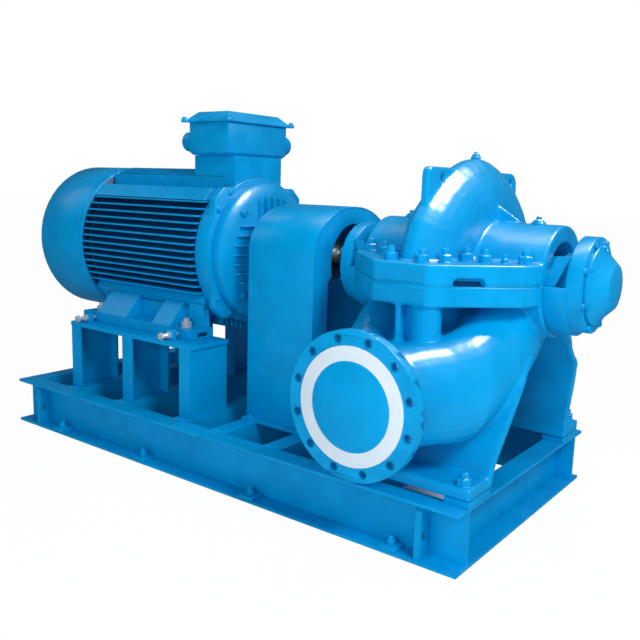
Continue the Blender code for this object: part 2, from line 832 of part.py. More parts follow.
def leg_plate(side):
    """A wide leg that rises inward from its foot to the barrels."""
    stations = [
        (PAD_BOTTOM + 0.010, 0.257, 0.312),
        (0.2600, 0.258, 0.302),
        (0.4000, 0.284, 0.262),
        (0.4800, 0.297, 0.235),
        (0.5600, 0.290, 0.165),
        (0.6200, 0.278, 0.089),
        (0.6500, 0.270, 0.050),
    ]
    rings = []
    for z, half_x, outer in stations:
        near, far = side * outer, side * (outer - LEG_THICKNESS)
        rings.append(
            [
                (PUMP_X - half_x, near, z),
                (PUMP_X + half_x, near, z),
                (PUMP_X + half_x, far, z),
                (PUMP_X - half_x, far, z),
            ]
        )
    return loft(f"casing_leg_{side_name(side)}", rings)


def pipe_flange(name, side, height, radius, hole_circle, hole_radius, holes, face_y):
    """A pipe flange with its bolt holes straddling the vertical."""
    outline = arc((0, 0), radius, 0, 360 - 360 / 48, 47)
    rings = [outline]
    for index in range(holes):
        angle = 2 * math.pi * (index + 0.5) / holes
        centre = (hole_circle * math.cos(angle), hole_circle * math.sin(angle))
        rings.append(arc(centre, hole_radius, 0, 315, 7))
    origin = (PUMP_X, 0, height)
    back_y = face_y - side * FLANGE_THICKNESS
    start, end = sorted((-face_y, -back_y))
    return prism(name, rings, origin, X, Z, start, end)


def suction_branch(side):
    """One of the two branches that carry the suction from the nozzle up to a barrel."""
    stations = [
        (-0.560, 0.461, 0.085, 0.105, 0.030),
        (-0.505, 0.462, 0.110, 0.138, 0.034),
        (-0.450, 0.464, 0.122, 0.145, 0.060),
        (-0.400, 0.467, 0.124, 0.146, 0.095),
        (-0.340, 0.476, 0.118, 0.155, 0.138),
        (-0.280, 0.505, 0.104, 0.152, 0.162),
        (-0.220, 0.536, 0.105, 0.152, 0.178),
        (-0.160, 0.566, 0.110, 0.158, 0.177),
        (-0.080, 0.600, 0.112, 0.150, 0.170),
        (0.000, 0.640, 0.110, 0.120, 0.165),
    ]
    rings = []
    for y, centre_z, half_x, half_z, shift in stations:
        ring = ellipse_ring(y, centre_z, half_x, half_z, side * shift)
        rings.append(ring)
    return loft("casing_suction_branch_" + ("left" if side < 0 else "right"), rings)


def casing_lower():
    """The lower half with both nozzles, the legs and the feet, cast in one piece."""
    body = casing_barrels("casing_lower")
    flange = prism(
        "casing_lower_flange", [split_flange_outline()], (0, 0, 0), X, Y, SPLIT_BOTTOM, SHAFT_Z + 0.02
    )
    suction = loft(
        "casing_suction_passage",
        [
            ellipse_ring(SUCTION_Y + 0.010, SUCTION_Z, 0.145, 0.145),
            ellipse_ring(-0.550, SUCTION_Z, 0.147, 0.147),
            ellipse_ring(-0.480, 0.462, 0.150, 0.148),
            ellipse_ring(-0.400, 0.462, 0.150, 0.142),
            ellipse_ring(-0.200, 0.520, 0.150, 0.134),
            ellipse_ring(0.000, 0.570, 0.150, 0.140),
        ],
    )
    half_web = CASING_WEB / 2
    web = box(
        "casing_web", (PUMP_X - half_web, -0.428, 0.560), (PUMP_X + half_web, -0.150, 0.730)
    )
    boss = cylinder("casing_stud_boss", (PUMP_X + 0.062, -0.375, 0), Z, 0.045, 0.600, 0.730, 32)
    discharge = loft(
        "casing_discharge_passage",
        [
            ellipse_ring(0.020, 0.560, 0.105, 0.115),
            ellipse_ring(0.120, 0.545, 0.128, 0.150),
            ellipse_ring(0.240, 0.520, 0.132, 0.150),
            ellipse_ring(0.340, 0.490, 0.126, 0.138),
            ellipse_ring(0.430, 0.465, 0.120, 0.122),
            ellipse_ring(DISCHARGE_Y - 0.010, DISCHARGE_Z, 0.118, 0.118),
        ],
    )
    flanges = [
        pipe_flange(
            "casing_suction_flange",
            -1,
            SUCTION_Z,
            SUCTION_FLANGE_RADIUS,
            SUCTION_BOLT_CIRCLE,
            SUCTION_BOLT_HOLE,
            SUCTION_HOLES,
            SUCTION_Y,
        ),
        pipe_flange(
            "casing_discharge_flange",
            1,
            DISCHARGE_Z,
            DISCHARGE_FLANGE_RADIUS,
            DISCHARGE_BOLT_CIRCLE,
            DISCHARGE_BOLT_HOLE,
            DISCHARGE_HOLES,
            DISCHARGE_Y,
        ),
    ]
    feet = []
    for side in (-1, 1):
        low_y, high_y = sorted((side * PAD_FRONT, side * PAD_BACK))
        feet.append(
            box(
                f"casing_pad_{side_name(side)}",
                (PUMP_X - PAD_HALF_LENGTH, low_y, PAD_BOTTOM),
                (PUMP_X + PAD_HALF_LENGTH, high_y, PAD_TOP),
            )
        )
        feet.append(leg_plate(side))
    branches = [suction_branch(-1), suction_branch(1)]
    shell = volute("casing_lower_volute")
    joined(body, flange, shell, suction, *branches, web, boss, discharge, *flanges, *feet)
    above = box("casing_lower_trim", (0.2, -0.6, SHAFT_Z - GAP / 2), (1.2, 0.6, 1.4))
    return cut(body, above, *casing_cutters("casing_lower"))


def flange_cover(name, side, height, radius, face_y):
    """A blanking disc on a pipe flange's face."""
    start, end = sorted((face_y + side * GAP, face_y + side * COVER_THICKNESS))
    return cylinder(name, (PUMP_X, 0, height), Y, radius, start, end, 48, mat=WHITE)


def packing_plate(side, end):
    """The plate between a pump foot and the base."""
    name = f"pump_packing_{side_name(side)}_" + ("left" if end < 0 else "right")
    low_y, high_y = sorted((side * PAD_FRONT, side * (PAD_BACK + 0.005)))
    far = PUMP_X + end * PAD_HALF_LENGTH
    low_x, high_x = sorted((far, far - end * PACKING_LENGTH))
    return box(
        name, (low_x, low_y, CHANNEL_DEPTH + GAP), (high_x, high_y, PAD_BOTTOM - GAP), BLUE
    )


def bearing_bracket(end):
    """A bearing bracket: open trough below the shaft, neck and bolted flange."""
    name = "bearing_bracket_" + ("drive" if end < 0 else "free")

    def along(offset):
        return PUMP_X + end * offset

    def ring(suffix, first, last, outer, inner, sides=40, mat=None):
        low, high = sorted((along(first), along(last)))
        profile = [(low, inner), (low, outer), (high, outer), (high, inner), (low, inner)]
        return turned(name + suffix, profile, sides, mat)

    bore = SHAFT_RADIUS + 0.0008
    flange = ring("", BEARING_FLANGE_START, BEARING_FLANGE_END, BEARING_FLANGE_RADIUS, bore, 48, BLUE)
    neck = ring("_neck", 0.318, BEARING_FLANGE_START + 0.004, 0.088, bore)
    trough = ring("_trough", BRACKET_START, BEARING_FLANGE_START + 0.004, 0.152, 0.126)
    low_x, high_x = sorted((along(BRACKET_START - 0.02), along(BEARING_FLANGE_START + 0.02)))
    trim = box(name + "_trim", (low_x, -0.2, SHAFT_Z), (high_x, 0.2, SHAFT_Z + 0.2))
    cut(trough, trim)
    return joined(flange, neck, trough)


def gland(end):
    """The gland ring that closes the stuffing box round the shaft."""
    name = "gland_" + ("drive" if end < 0 else "free")
    bore = SHAFT_RADIUS + 0.0008
    depth = BARREL_HALF_LENGTH - BARREL_BORE_DEPTH + GAP
    low, high = sorted((PUMP_X + end * depth, PUMP_X + end * (depth + 0.040)))
    profile = [(low, bore), (low, 0.075), (high, 0.075), (high, bore), (low, bore)]
    return turned(name, profile, 32, BLUE)


def bearing_cap_free():
    """The closed cap at the free end: bolted rim and cone."""
    start = PUMP_X + BEARING_FLANGE_END + GAP
    end = PUMP_X + BEARING_CAP_END
    profile = [
        (start, 0.0),
        (start, BEARING_COVER_RADIUS),
        (start + 0.010, BEARING_COVER_RADIUS),
        (start + 0.012, 0.104),
        (end - 0.003, BEARING_CAP_RADIUS + 0.001),
        (end, BEARING_CAP_RADIUS - 0.002),
        (end, 0.0),
    ]
    return turned("bearing_cap_free", profile, 40, BLUE)


def bearing_cover_drive():
    """The cover at the drive end, bored for the shaft."""
    high = PUMP_X - BEARING_FLANGE_END - GAP
    low = high - 0.048
    bore = SHAFT_RADIUS + 0.0008
    profile = [
        (low, bore),
        (low, 0.070),
        (high - 0.012, 0.104),
        (high - 0.010, BEARING_COVER_RADIUS),
        (high, BEARING_COVER_RADIUS),
        (high, bore),
        (low, bore),
    ]
    return turned("bearing_cover_drive", profile, 40, BLUE)


def air_plug():
    """The vent plug on the crown of the volute."""
    crown = SHAFT_Z + VOLUTE_CROWN * math.cos(math.radians(3.75)) + GAP
    centre = (PUMP_X, 0, 0)
    stem = cylinder("volute_air_plug", centre, Z, 0.016, crown, crown + 0.012, 24, mat=BLUE)
    head = cylinder("volute_air_plug_head", centre, Z, 0.010, crown + 0.010, crown + 0.030, 6)
    return joined(stem, head)


def build():
    for side in (-1, 1):
        base_beam(side)
        base_end_channel(side)
        motor_pedestal(side)
        motor_foot(side)
        guard_support_bar(side)
        bearing_bracket(side)
        gland(side)
        for end in (-1, 1):
            packing_plate(side, end)
    for number, left_edge in enumerate(CROSS_CHANNEL_EDGES, 1):
        base_cross_channel(number, left_edge)
    motor_frame()
    motor_end_ring()
    motor_fan_cover()
    motor_end_shield()
    motor_shaft()
    terminal_box_neck()
    terminal_box_body()
    terminal_box_lid()
    coupling_guard_shell()
    plate = GUARD_SHEET
    guard_end_plate("guard_end_plate_motor", GUARD_LEFT + 0.002, GUARD_LEFT + 0.002 + plate)
    guard_end_plate("guard_end_plate_pump", GUARD_RIGHT - 0.002 - plate, GUARD_RIGHT - 0.002)
    coupling_hub("coupling_hub_motor", -0.022, 0.0828, True, MOTOR_SHAFT_RADIUS + GAP)
    coupling_hub("coupling_hub_pump", 0.0872, 0.192, False, SHAFT_RADIUS + GAP)
    pump_shaft()
    casing_upper()
    casing_lower()
    flange_cover("suction_cover", -1, SUCTION_Z, COVER_RADIUS, SUCTION_Y)
    flange_cover("discharge_cover", 1, DISCHARGE_Z, DISCHARGE_COVER_RADIUS, DISCHARGE_Y)
    bearing_cap_free()
    bearing_cover_drive()
    air_plug()


clear_scene()
PARTS = collection("split_case_pump")
SHAPERS = collection("shapers")
BLUE = material("blue_gloss_enamel", (0.004, 0.225, 0.600), 0.30)
STEEL = material("machined_steel", (0.52, 0.54, 0.56), 0.35, 1.0)
WHITE = material("white_enamel", (0.82, 0.88, 0.93), 0.35)
build()
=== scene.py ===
"""Split case pump set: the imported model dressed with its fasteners, ribs, fittings and finishes."""

import math

import bmesh
import bpy
from mathutils import Matrix, Vector


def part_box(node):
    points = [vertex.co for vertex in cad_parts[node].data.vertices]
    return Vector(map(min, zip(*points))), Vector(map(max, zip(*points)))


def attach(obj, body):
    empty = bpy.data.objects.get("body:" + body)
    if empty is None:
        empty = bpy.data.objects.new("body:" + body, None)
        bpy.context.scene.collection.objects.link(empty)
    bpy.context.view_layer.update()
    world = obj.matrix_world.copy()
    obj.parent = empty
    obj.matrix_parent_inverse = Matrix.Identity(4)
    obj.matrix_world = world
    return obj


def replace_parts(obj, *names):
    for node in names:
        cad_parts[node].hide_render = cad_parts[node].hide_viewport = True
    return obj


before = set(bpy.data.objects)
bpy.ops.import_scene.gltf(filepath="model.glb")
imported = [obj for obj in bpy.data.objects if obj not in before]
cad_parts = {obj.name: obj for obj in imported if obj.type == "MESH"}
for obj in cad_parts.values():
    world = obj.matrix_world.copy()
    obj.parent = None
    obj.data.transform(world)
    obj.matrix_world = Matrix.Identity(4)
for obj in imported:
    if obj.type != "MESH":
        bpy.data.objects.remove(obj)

bl_info = {
    "name": "Split Case Pump Set",
    "version": (1, 0, 0),
    "blender": (4, 5, 0),
    "location": "View3D > Sidebar > Pump Set",
    "description": "Dresses a split case pump set with fasteners, ribs, fittings and enamel",
    "category": "Object",
}

X = Vector((1, 0, 0))
Y = Vector((0, 1, 0))
Z = Vector((0, 0, 1))
SIDES = (-1, 1)

# Heights of the shaft and of the split flange's top, and the place of the pump's middle.
SHAFT_Z = 0.765
SPLIT_TOP = 0.8256
PUMP_X = 0.705

# How far a fitting sinks into the face that carries it.
SEAT = 0.0005
DEEP_SEAT = 0.001

# A nut's or bolt head's width across flats as a share of the thread's diameter.
FLATS_SHARE = 1.5

# Vertices closer than this are one, and faces that meet at less than this angle shade as one.
MERGE_DISTANCE = 0.00001
SMOOTH_ANGLE = math.radians(32.0)

CAST = "gloss_enamel_on_casting"
SHEET = "gloss_enamel_on_sheet"
ROLLED = "gloss_enamel_on_rolled_steel"
# Painted shade: a matt dark blue laid deep in openings and gaps where the shade falls.
PAINTED_SHADE = "painted_shade_dark_blue"
ZINC = "bright_zinc_plate"
STEEL = "turned_shaft_steel"
WHITE = "sprayed_white_enamel"

CAST_NODES = (
    "casing_upper",
    "casing_lower",
    "bearing_bracket_drive",
    "bearing_bracket_free",
    "bearing_cap_free",
    "bearing_cover_drive",
    "gland_drive",
    "gland_free",
    "volute_air_plug",
    "motor_frame",
    "motor_end_ring",
    "motor_end_shield_drive",
    "motor_foot_front",
    "motor_foot_rear",
)
SHEET_NODES = (
    "motor_fan_cover",
    "terminal_box_neck",
    "terminal_box_body",
    "terminal_box_lid",
    "coupling_guard_shell",
    "guard_end_plate_motor",
    "guard_end_plate_pump",
)
SHAFT_NODES = ("motor_shaft", "pump_shaft", "coupling_hub_motor", "coupling_hub_pump")
COVER_NODES = ("suction_cover", "discharge_cover")
ROUND_CASTINGS = (
    "bearing_bracket_drive",
    "bearing_bracket_free",
    "bearing_cap_free",
    "bearing_cover_drive",
    "gland_drive",
    "gland_free",
    "motor_end_ring",
    "motor_end_shield_drive",
    "terminal_box_body",
    "terminal_box_lid",
)
ROUND_SHEETS = (
    "motor_fan_cover",
    "coupling_guard_shell",
    "guard_end_plate_motor",
    "guard_end_plate_pump",
)

# Nodes shown by a smoothly shaded copy, with the finish and the width of the eased edges.
SMOOTH_SURFACES = (
    (ROUND_CASTINGS, CAST, 0.0012),
    (ROUND_SHEETS, SHEET, 0.0008),
    (COVER_NODES, WHITE, 0.0006),
    (SHAFT_NODES, STEEL, 0.0010),
)

# Each lamp's name, place, target, size and power, whether it lights the set, and whether the
# gloss shows it.
LAMPS = (
    ("overhead_softbox", (0.2, 0.3, 3.3), (0.3, -0.1, 0.7), (2.8, 1.4), 28.0, True, False),
    ("overhead_glint", (0.2, 0.3, 3.3), (0.3, -0.1, 0.7), (2.0, 0.6), 110.0, False, True),
    ("main_softbox", (2.9, -1.3, 2.9), (0.3, -0.1, 0.7), (0.9, 0.9), 76.0, True, False),
    ("spot_glint", (1.75, 0.55, 3.0), (0.7, -0.2, 0.8), (0.5, 0.5), 520.0, False, True),
    ("key_softbox", (1.3, -3.2, 1.4), (0.4, 0.0, 0.5), (1.8, 1.4), 36.0, True, False),
    ("right_softbox", (4.4, -0.2, 1.8), (0.4, 0.0, 0.5), (3.4, 2.4), 14.0, True, False),
    ("left_softbox", (-3.4, -1.2, 2.8), (0.4, -0.1, 0.9), (1.4, 1.4), 9.0, True, True),
    ("front_softbox", (-0.8, -4.4, 0.7), (-0.4, 0.0, 0.2), (2.0, 1.2), 10.0, True, False),
    ("rear_softbox", (-1.6, 4.2, 2.4), (0.0, 0.0, 0.5), (2.2, 1.8), 30.0, True, False),
)
CAMERA_PLACE = (1.78356, -2.20957, 1.02811)
CAMERA_AZIMUTH, CAMERA_PITCH, CAMERA_ROLL = 36.99, 10.12, 1.75

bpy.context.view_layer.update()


def middle(node):
    low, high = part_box(node)
    return (low + high) / 2


def linear(code):
    """An sRGB hex colour as linear red, green and blue."""
    made = []
    for start in (1, 3, 5):
        value = int(code[start : start + 2], 16) / 255
        made.append(value / 12.92 if value <= 0.04045 else ((value + 0.055) / 1.055) ** 2.4)
    return tuple(made)


class PumpSetLooks(bpy.types.PropertyGroup):
    """Colours of the set."""

    enamel: bpy.props.FloatVectorProperty(
        name="Enamel",
        description="Colour of the gloss enamel",
        subtype="COLOR",
        size=3,
        default=linear("#0099D6"),
    )
    white: bpy.props.FloatVectorProperty(
        name="Cover white",
        description="Colour of the white flange discs",
        subtype="COLOR",
        size=3,
        default=linear("#DCE6EF"),
    )
    zinc: bpy.props.FloatVectorProperty(
        name="Zinc",
        description="Colour of the bright plated bolts",
        subtype="COLOR",
        size=3,
        default=linear("#D5DADC"),
    )


class PumpSetSizes(bpy.types.PropertyGroup):
    """Sizes of the fasteners and fittings."""

    split_stud: bpy.props.FloatProperty(
        name="Split flange stud",
        description="Diameter of the studs that hold the casing halves",
        default=0.023,
        unit="LENGTH",
    )
    foot_bolt: bpy.props.FloatProperty(
        name="Foot bolt",
        description="Diameter of the motor's hold-down bolts",
        default=0.022,
        unit="LENGTH",
    )
    cover_bolt: bpy.props.FloatProperty(
        name="Cover bolt",
        description="Diameter of the bolts of the motor shield and the bearing covers",
        default=0.012,
        unit="LENGTH",
    )
    disc_centre: bpy.props.FloatProperty(
        name="Disc centre",
        description="Radius of the blue middle of the suction disc",
        default=0.122,
        unit="LENGTH",
    )
    cast_grain: bpy.props.FloatProperty(
        name="Cast grain",
        description="Cell size of the casings' rounded surface",
        default=0.005,
        unit="LENGTH",
    )
    camera_lens: bpy.props.FloatProperty(
        name="Camera lens",
        description="Focal length of the camera",
        default=42.83,
        unit="CAMERA",
    )


def looks():
    return bpy.context.scene.pump_set_looks


def sizes():
    return bpy.context.scene.pump_set_sizes


# Finishes


def add_node(tree, kind, values=None, links=None, **attributes):
    """A shader node with its attributes, its sockets' values and its links."""
    made = tree.nodes.new(kind)
    for name, value in attributes.items():
        setattr(made, name, value)
    for socket, value in (values or {}).items():
        made.inputs[socket].default_value = value
    for socket, output in (links or {}).items():
        tree.links.new(output, made.inputs[socket])
    return made


def new_material(name):
    made = bpy.data.materials.new(name)
    made.use_nodes = True
    tree = made.node_tree
    shader = tree.nodes["Principled BSDF"]
    place = add_node(tree, "ShaderNodeTexCoord").outputs["Object"]
    return made, tree, shader, place


def shade_of(colour, share):
    return (*[value * share for value in colour], 1.0)


def noise(tree, place, scale, detail, roughness):
    """A cloudy pattern between 0 and 1."""
    values = {"Scale": scale, "Detail": detail, "Roughness": roughness}
    made = add_node(tree, "ShaderNodeTexNoise", values, {"Vector": place})
    return made.outputs["Fac"]


def tinted(tree, shader, pattern, dark, light, start=0.0, end=1.0):
    """Lead the base colour from dark to light as the pattern goes from start to end."""
    tint = add_node(tree, "ShaderNodeValToRGB", links={"Fac": pattern})
    first, last = tint.color_ramp.elements
    first.position, last.position = start, end
    first.color, last.color = dark, light
    tree.links.new(tint.outputs["Color"], shader.inputs["Base Color"])


def dulled(tree, shader, pattern, start, end, glossy, matt):
    """Lead the roughness from glossy to matt as the pattern goes from start to end."""
    values = {"From Min": start, "From Max": end, "To Min": glossy, "To Max": matt}
    dull = add_node(tree, "ShaderNodeMapRange", values, {"Value": pattern})
    tree.links.new(dull.outputs["Result"], shader.inputs["Roughness"])


def bumped(tree, pattern, distance, strength=1.0, normal=None):
    """The surface's direction with the pattern raised on it by the distance."""
    links = {"Height": pattern}
    if normal is not None:
        links["Normal"] = normal
    values = {"Strength": strength, "Distance": distance}
    return add_node(tree, "ShaderNodeBump", values, links).outputs["Normal"]


def enamel_on(name, wave, depth, grain, rough, edge, gloss):
    """Two-coat gloss alkyd enamel.

    The gloss shows the waves of the steel or casting under it, the fine grain of its own skin,
    and the edges that the paint has rounded.
    """
    made, tree, shader, place = new_material(name)
    base = tuple(looks().enamel)
    grain_cell = 0.005
    cloud = noise(tree, place, 9.0, 3.0, 0.55)
    tinted(tree, shader, cloud, shade_of(base, 0.90), shade_of(base, 1.08), 0.30, 0.72)
    swell = noise(tree, place, 1 / wave, 2.0, 0.5)
    peel = noise(tree, place, 1 / grain_cell, 2.0, 0.6)
    eased = add_node(tree, "ShaderNodeBevel", {"Radius": edge}, samples=6)
    swelled = bumped(tree, swell, depth, normal=eased.outputs["Normal"])
    peeled = bumped(tree, peel, grain, normal=swelled)
    tree.links.new(peeled, shader.inputs["Normal"])
    dulled(tree, shader, cloud, 0.25, 0.75, rough - 0.04, rough + 0.08)
    shader.inputs["IOR"].default_value = 1.50
    shader.inputs["Specular IOR Level"].default_value = gloss
    return made


def bright_zinc():
    """Electroplated zinc: pale grey metal, slightly cloudy, brighter on turned faces."""
    made, tree, shader, place = new_material(ZINC)
    base = tuple(looks().zinc)
    cloud = noise(tree, place, 160.0, 3.0, 0.6)
    tinted(tree, shader, cloud, shade_of(base, 0.78), shade_of(base, 1.0), 0.30, 0.70)
    dulled(tree, shader, cloud, 0.3, 0.7, 0.24, 0.40)
    shader.inputs["Metallic"].default_value = 0.45
    return made


def turned_steel():
    """Turned carbon steel of shafts and couplings: fine tool marks, a film of oil."""
    made, tree, shader, place = new_material(STEEL)
    # Tool marks are 0.3 mm apart and are drawn 6 mm apart so that they show.
    marks = add_node(
        tree,
        "ShaderNodeTexWave",
        {"Scale": 1 / 0.019, "Distortion": 0.6, "Detail": 2.0, "Detail Scale": 2.0},
        {"Vector": place},
        wave_type="BANDS",
        bands_direction="X",
    ).outputs["Fac"]
    tinted(tree, shader, marks, (*linear("#646A6E"), 1.0), (*linear("#868D91"), 1.0))
    tree.links.new(bumped(tree, marks, 0.0002, 0.4), shader.inputs["Normal"])
    shader.inputs["Metallic"].default_value = 1.0
    shader.inputs["Roughness"].default_value = 0.42
    return made


def white_enamel():
    """Sprayed white enamel on sheet: bright, even, with a little dust dulling its gloss."""
    made, tree, shader, place = new_material(WHITE)
    base = tuple(looks().white)
    cloud = noise(tree, place, 22.0, 4.0, 0.6)
    tinted(tree, shader, cloud, shade_of(base, 0.94), shade_of(base, 1.0), 0.25, 0.75)
    dulled(tree, shader, cloud, 0.25, 0.75, 0.32, 0.48)
    return made


def shadowed_enamel():
    """Painted shade: matt dark blue laid deep inside openings and gaps, where the shade falls."""
    made, tree, shader, place = new_material(PAINTED_SHADE)
    cloud = noise(tree, place, 40.0, 3.0, 0.6)
    tinted(tree, shader, cloud, (*linear("#0A2C4E"), 1.0), (*linear("#0F4373"), 1.0))
    shader.inputs["Roughness"].default_value = 0.65
    return made


def floor_paint():
    """Matt white studio floor that glows outside the set's base and keeps the shade under it."""
    made, tree, shader, place = new_material("matt_white_floor_paint")
    shader.inputs["Base Color"].default_value = (0.88, 0.89, 0.90, 1.0)
    shader.inputs["Roughness"].default_value = 0.9
    glow_share = 0.975
    split = add_node(tree, "ShaderNodeSeparateXYZ", links={"Vector": place})
    reach = []
    for part, near, far in (("X", 0.86, 0.96), ("Y", 0.30, 0.37)):
        away = add_node(
            tree, "ShaderNodeMath", links={0: split.outputs[part]}, operation="ABSOLUTE"
        )
        edge = add_node(
            tree,
            "ShaderNodeMapRange",
            {"From Min": near, "From Max": far, "To Min": 0.0, "To Max": glow_share},
            {"Value": away.outputs[0]},
            interpolation_type="SMOOTHSTEP",
        )
        reach.append(edge.outputs["Result"])
    spread = add_node(
        tree, "ShaderNodeMath", links={0: reach[0], 1: reach[1]}, operation="MAXIMUM"
    )
    seen = add_node(tree, "ShaderNodeLightPath")
    shown = add_node(
        tree,
        "ShaderNodeMath",
        links={0: spread.outputs[0], 1: seen.outputs["Is Camera Ray"]},
        operation="MULTIPLY",
    )
    glow = add_node(
        tree, "ShaderNodeEmission", {"Color": (1.0, 1.0, 1.0, 1.0), "Strength": 1.0}
    )
    mixed = add_node(
        tree,
        "ShaderNodeMixShader",
        links={0: shown.outputs[0], 1: shader.outputs["BSDF"], 2: glow.outputs["Emission"]},
    )
    tree.links.new(mixed.outputs[0], tree.nodes["Material Output"].inputs["Surface"])
    return made


# Shapes


def placed(base, axis):
    """A matrix that stands local Z along the axis, from the base point."""
    turn = Vector(axis).to_track_quat("Z", "Y").to_matrix().to_4x4()
    return Matrix.Translation(Vector(base)) @ turn


def polar(radius, degrees):
    """A point across the shaft at a radius and an angle from +Y."""
    angle = math.radians(degrees)
    return radius * math.cos(angle), SHAFT_Z + radius * math.sin(angle)


def chord(radius, offset):
    """Half the width of a circle at an offset from its centre."""
    return math.sqrt(radius**2 - offset**2)


def sided(side, inner, outer):
    """Two distances from the middle as lower and higher coordinates on one side of it."""
    return sorted((side * inner, side * outer))


def soften(bm, edges, width, segments=1):
    bmesh.ops.bevel(
        bm,
        geom=edges,
        offset=width,
        offset_type="OFFSET",
        segments=segments,
        profile=0.5,
        affect="EDGES",
        material=-1,
    )


def edges_of(verts):
    return list({edge for vert in verts for edge in vert.link_edges})


def far_rim(verts, base, axis, length):
    """The edges of a bar's far end."""
    top = Vector(base) + Vector(axis).normalized() * length
    rim = [v for v in verts if (v.co - top).dot(Vector(axis)) > -1e-6]
    return [e for e in edges_of(rim) if all(v in rim for v in e.verts)]


def add_block(bm, low, high, bevel=0.0, matrix=None):
    """A block between two corners, its edges bevelled, then put in place by the matrix."""
    low, high = Vector(low), Vector(high)
    size = high - low
    place = Matrix.Translation((low + high) / 2) @ Matrix.Diagonal((*size, 1.0))
    if matrix is not None:
        place = matrix @ place
    verts = bmesh.ops.create_cube(bm, size=1.0, matrix=place)["verts"]
    if bevel:
        soften(bm, edges_of(verts), bevel, 2)


def add_rod(bm, base, axis, radius, length, sides=20, bevel=0.0):
    """A round bar from the base point along the axis, with its far rim bevelled."""
    verts = bmesh.ops.create_cone(
        bm,
        cap_ends=True,
        segments=sides,
        radius1=radius,
        radius2=radius,
        depth=length,
        matrix=placed(base, axis) @ Matrix.Translation((0, 0, length / 2)),
    )["verts"]
    if bevel:
        soften(bm, far_rim(verts, base, axis, length), bevel, 2)


def add_hexagon(bm, base, axis, across_flats, height, turn=0.0):
    """A hexagon with its far corners chamfered, as on a nut or a bolt head."""
    turned = placed(base, axis) @ Matrix.Rotation(turn, 4, "Z")
    radius = across_flats / math.sqrt(3)
    verts = bmesh.ops.create_cone(
        bm,
        cap_ends=True,
        segments=6,
        radius1=radius,
        radius2=radius,
        depth=height,
        matrix=turned @ Matrix.Translation((0, 0, height / 2)),
    )["verts"]
    soften(bm, far_rim(verts, base, axis, height), across_flats * 0.08)


def add_bolt(bm, base, axis, diameter, turn=0.0, washer=True):
    """A hexagon bolt head on its washer, sized from the thread's diameter."""
    axis = Vector(axis).normalized()
    base = Vector(base)
    lift = 0.0
    if washer:
        lift = diameter * 0.16
        add_rod(bm, base, axis, diameter, lift, 20)
    add_hexagon(bm, base + axis * lift, axis, diameter * FLATS_SHARE, diameter * 0.64, turn)


def add_stud(bm, base, axis, diameter, stand, turn=0.0):
    """A stud end through its washer and nut, standing proud by the given length."""
    axis = Vector(axis).normalized()
    base = Vector(base)
    washer = diameter * 0.15
    nut = diameter * 0.86
    add_rod(bm, base, axis, diameter * 0.95, washer, 20)
    add_hexagon(bm, base + axis * washer, axis, diameter * FLATS_SHARE, nut, turn)
    add_rod(bm, base + axis * washer, axis, diameter * 0.47, nut + stand, 16, diameter * 0.10)


def add_turned(bm, profile, centre, axis, steps):
    """An open or closed profile of (radius, height) points spun round the axis at the centre."""
    matrix = placed(centre, axis)
    verts = [bm.verts.new(matrix @ Vector((radius, 0.0, height))) for radius, height in profile]
    edges = [bm.edges.new(pair) for pair in zip(verts, verts[1:])]
    bmesh.ops.spin(
        bm,
        geom=verts + edges,
        cent=Vector(centre),
        axis=Vector(axis).normalized(),
        angle=math.tau,
        steps=steps,
        use_merge=True,
        use_duplicate=False,
    )


def add_ring(bm, centre, axis, radius, thickness, steps, sides):
    """A round wire bent to a ring."""
    points = []
    for index in range(sides + 1):
        angle = math.tau * index / sides
        points.append((radius + thickness * math.cos(angle), thickness * math.sin(angle)))
    add_turned(bm, points, centre, axis, steps)


def add_sleeve(bm, radius, start, end, first, last):
    """A thin strip of a tube about the shaft, from one angle above the horizon to another."""
    y, z = polar(radius, first)
    low = bm.verts.new((start, y, z))
    high = bm.verts.new((end, y, z))
    line = bm.edges.new((low, high))
    bmesh.ops.spin(
        bm,
        geom=[low, high, line],
        cent=(0.0, 0.0, SHAFT_Z),
        axis=X,
        angle=math.radians(last - first),
        steps=24,
    )


def add_rib(bm, corners, thickness, normal):
    """A flat rib: a face through the corners, drawn out to its thickness about its own plane."""
    normal = Vector(normal).normalized()
    verts = [bm.verts.new(Vector(point) - normal * thickness / 2) for point in corners]
    face = bm.faces.new(verts)
    made = bmesh.ops.extrude_face_region(bm, geom=[face])["geom"]
    moved = [item for item in made if isinstance(item, bmesh.types.BMVert)]
    bmesh.ops.translate(bm, verts=moved, vec=normal * thickness)


def make_piece(name, bm, finish_name):
    """An object of the finish and the set's one body."""
    bmesh.ops.remove_doubles(bm, verts=bm.verts, dist=MERGE_DISTANCE)
    bmesh.ops.recalc_face_normals(bm, faces=bm.faces)
    mesh = bpy.data.meshes.new(name)
    bm.to_mesh(mesh)
    bm.free()
    obj = bpy.data.objects.new(name, mesh)
    bpy.context.scene.collection.objects.link(obj)
    mesh.materials.append(bpy.data.materials[finish_name])
    mesh.shade_smooth()
    mesh.set_sharp_from_angle(angle=SMOOTH_ANGLE)
    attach(obj, "root")
    return obj


def merged_copy(node):
    """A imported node's mesh with its loose triangles joined."""
    bm = bmesh.new()
    bm.from_mesh(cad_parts[node].data)
    bmesh.ops.remove_doubles(bm, verts=bm.verts, dist=MERGE_DISTANCE)
    return bm


def smooth_surface(node, finish_name, edge):
    """Stand a smoothly shaded copy with eased edges in a node's place."""
    flat_angle, sharp_angle = math.radians(0.6), math.radians(40)
    bm = merged_copy(node)
    bmesh.ops.dissolve_limit(bm, angle_limit=flat_angle, verts=bm.verts, edges=bm.edges)
    sharp = [e for e in bm.edges if e.is_manifold and e.calc_face_angle() > sharp_angle]
    soften(bm, sharp, edge, 2)
    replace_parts(make_piece(node + "_surface", bm, finish_name), node)


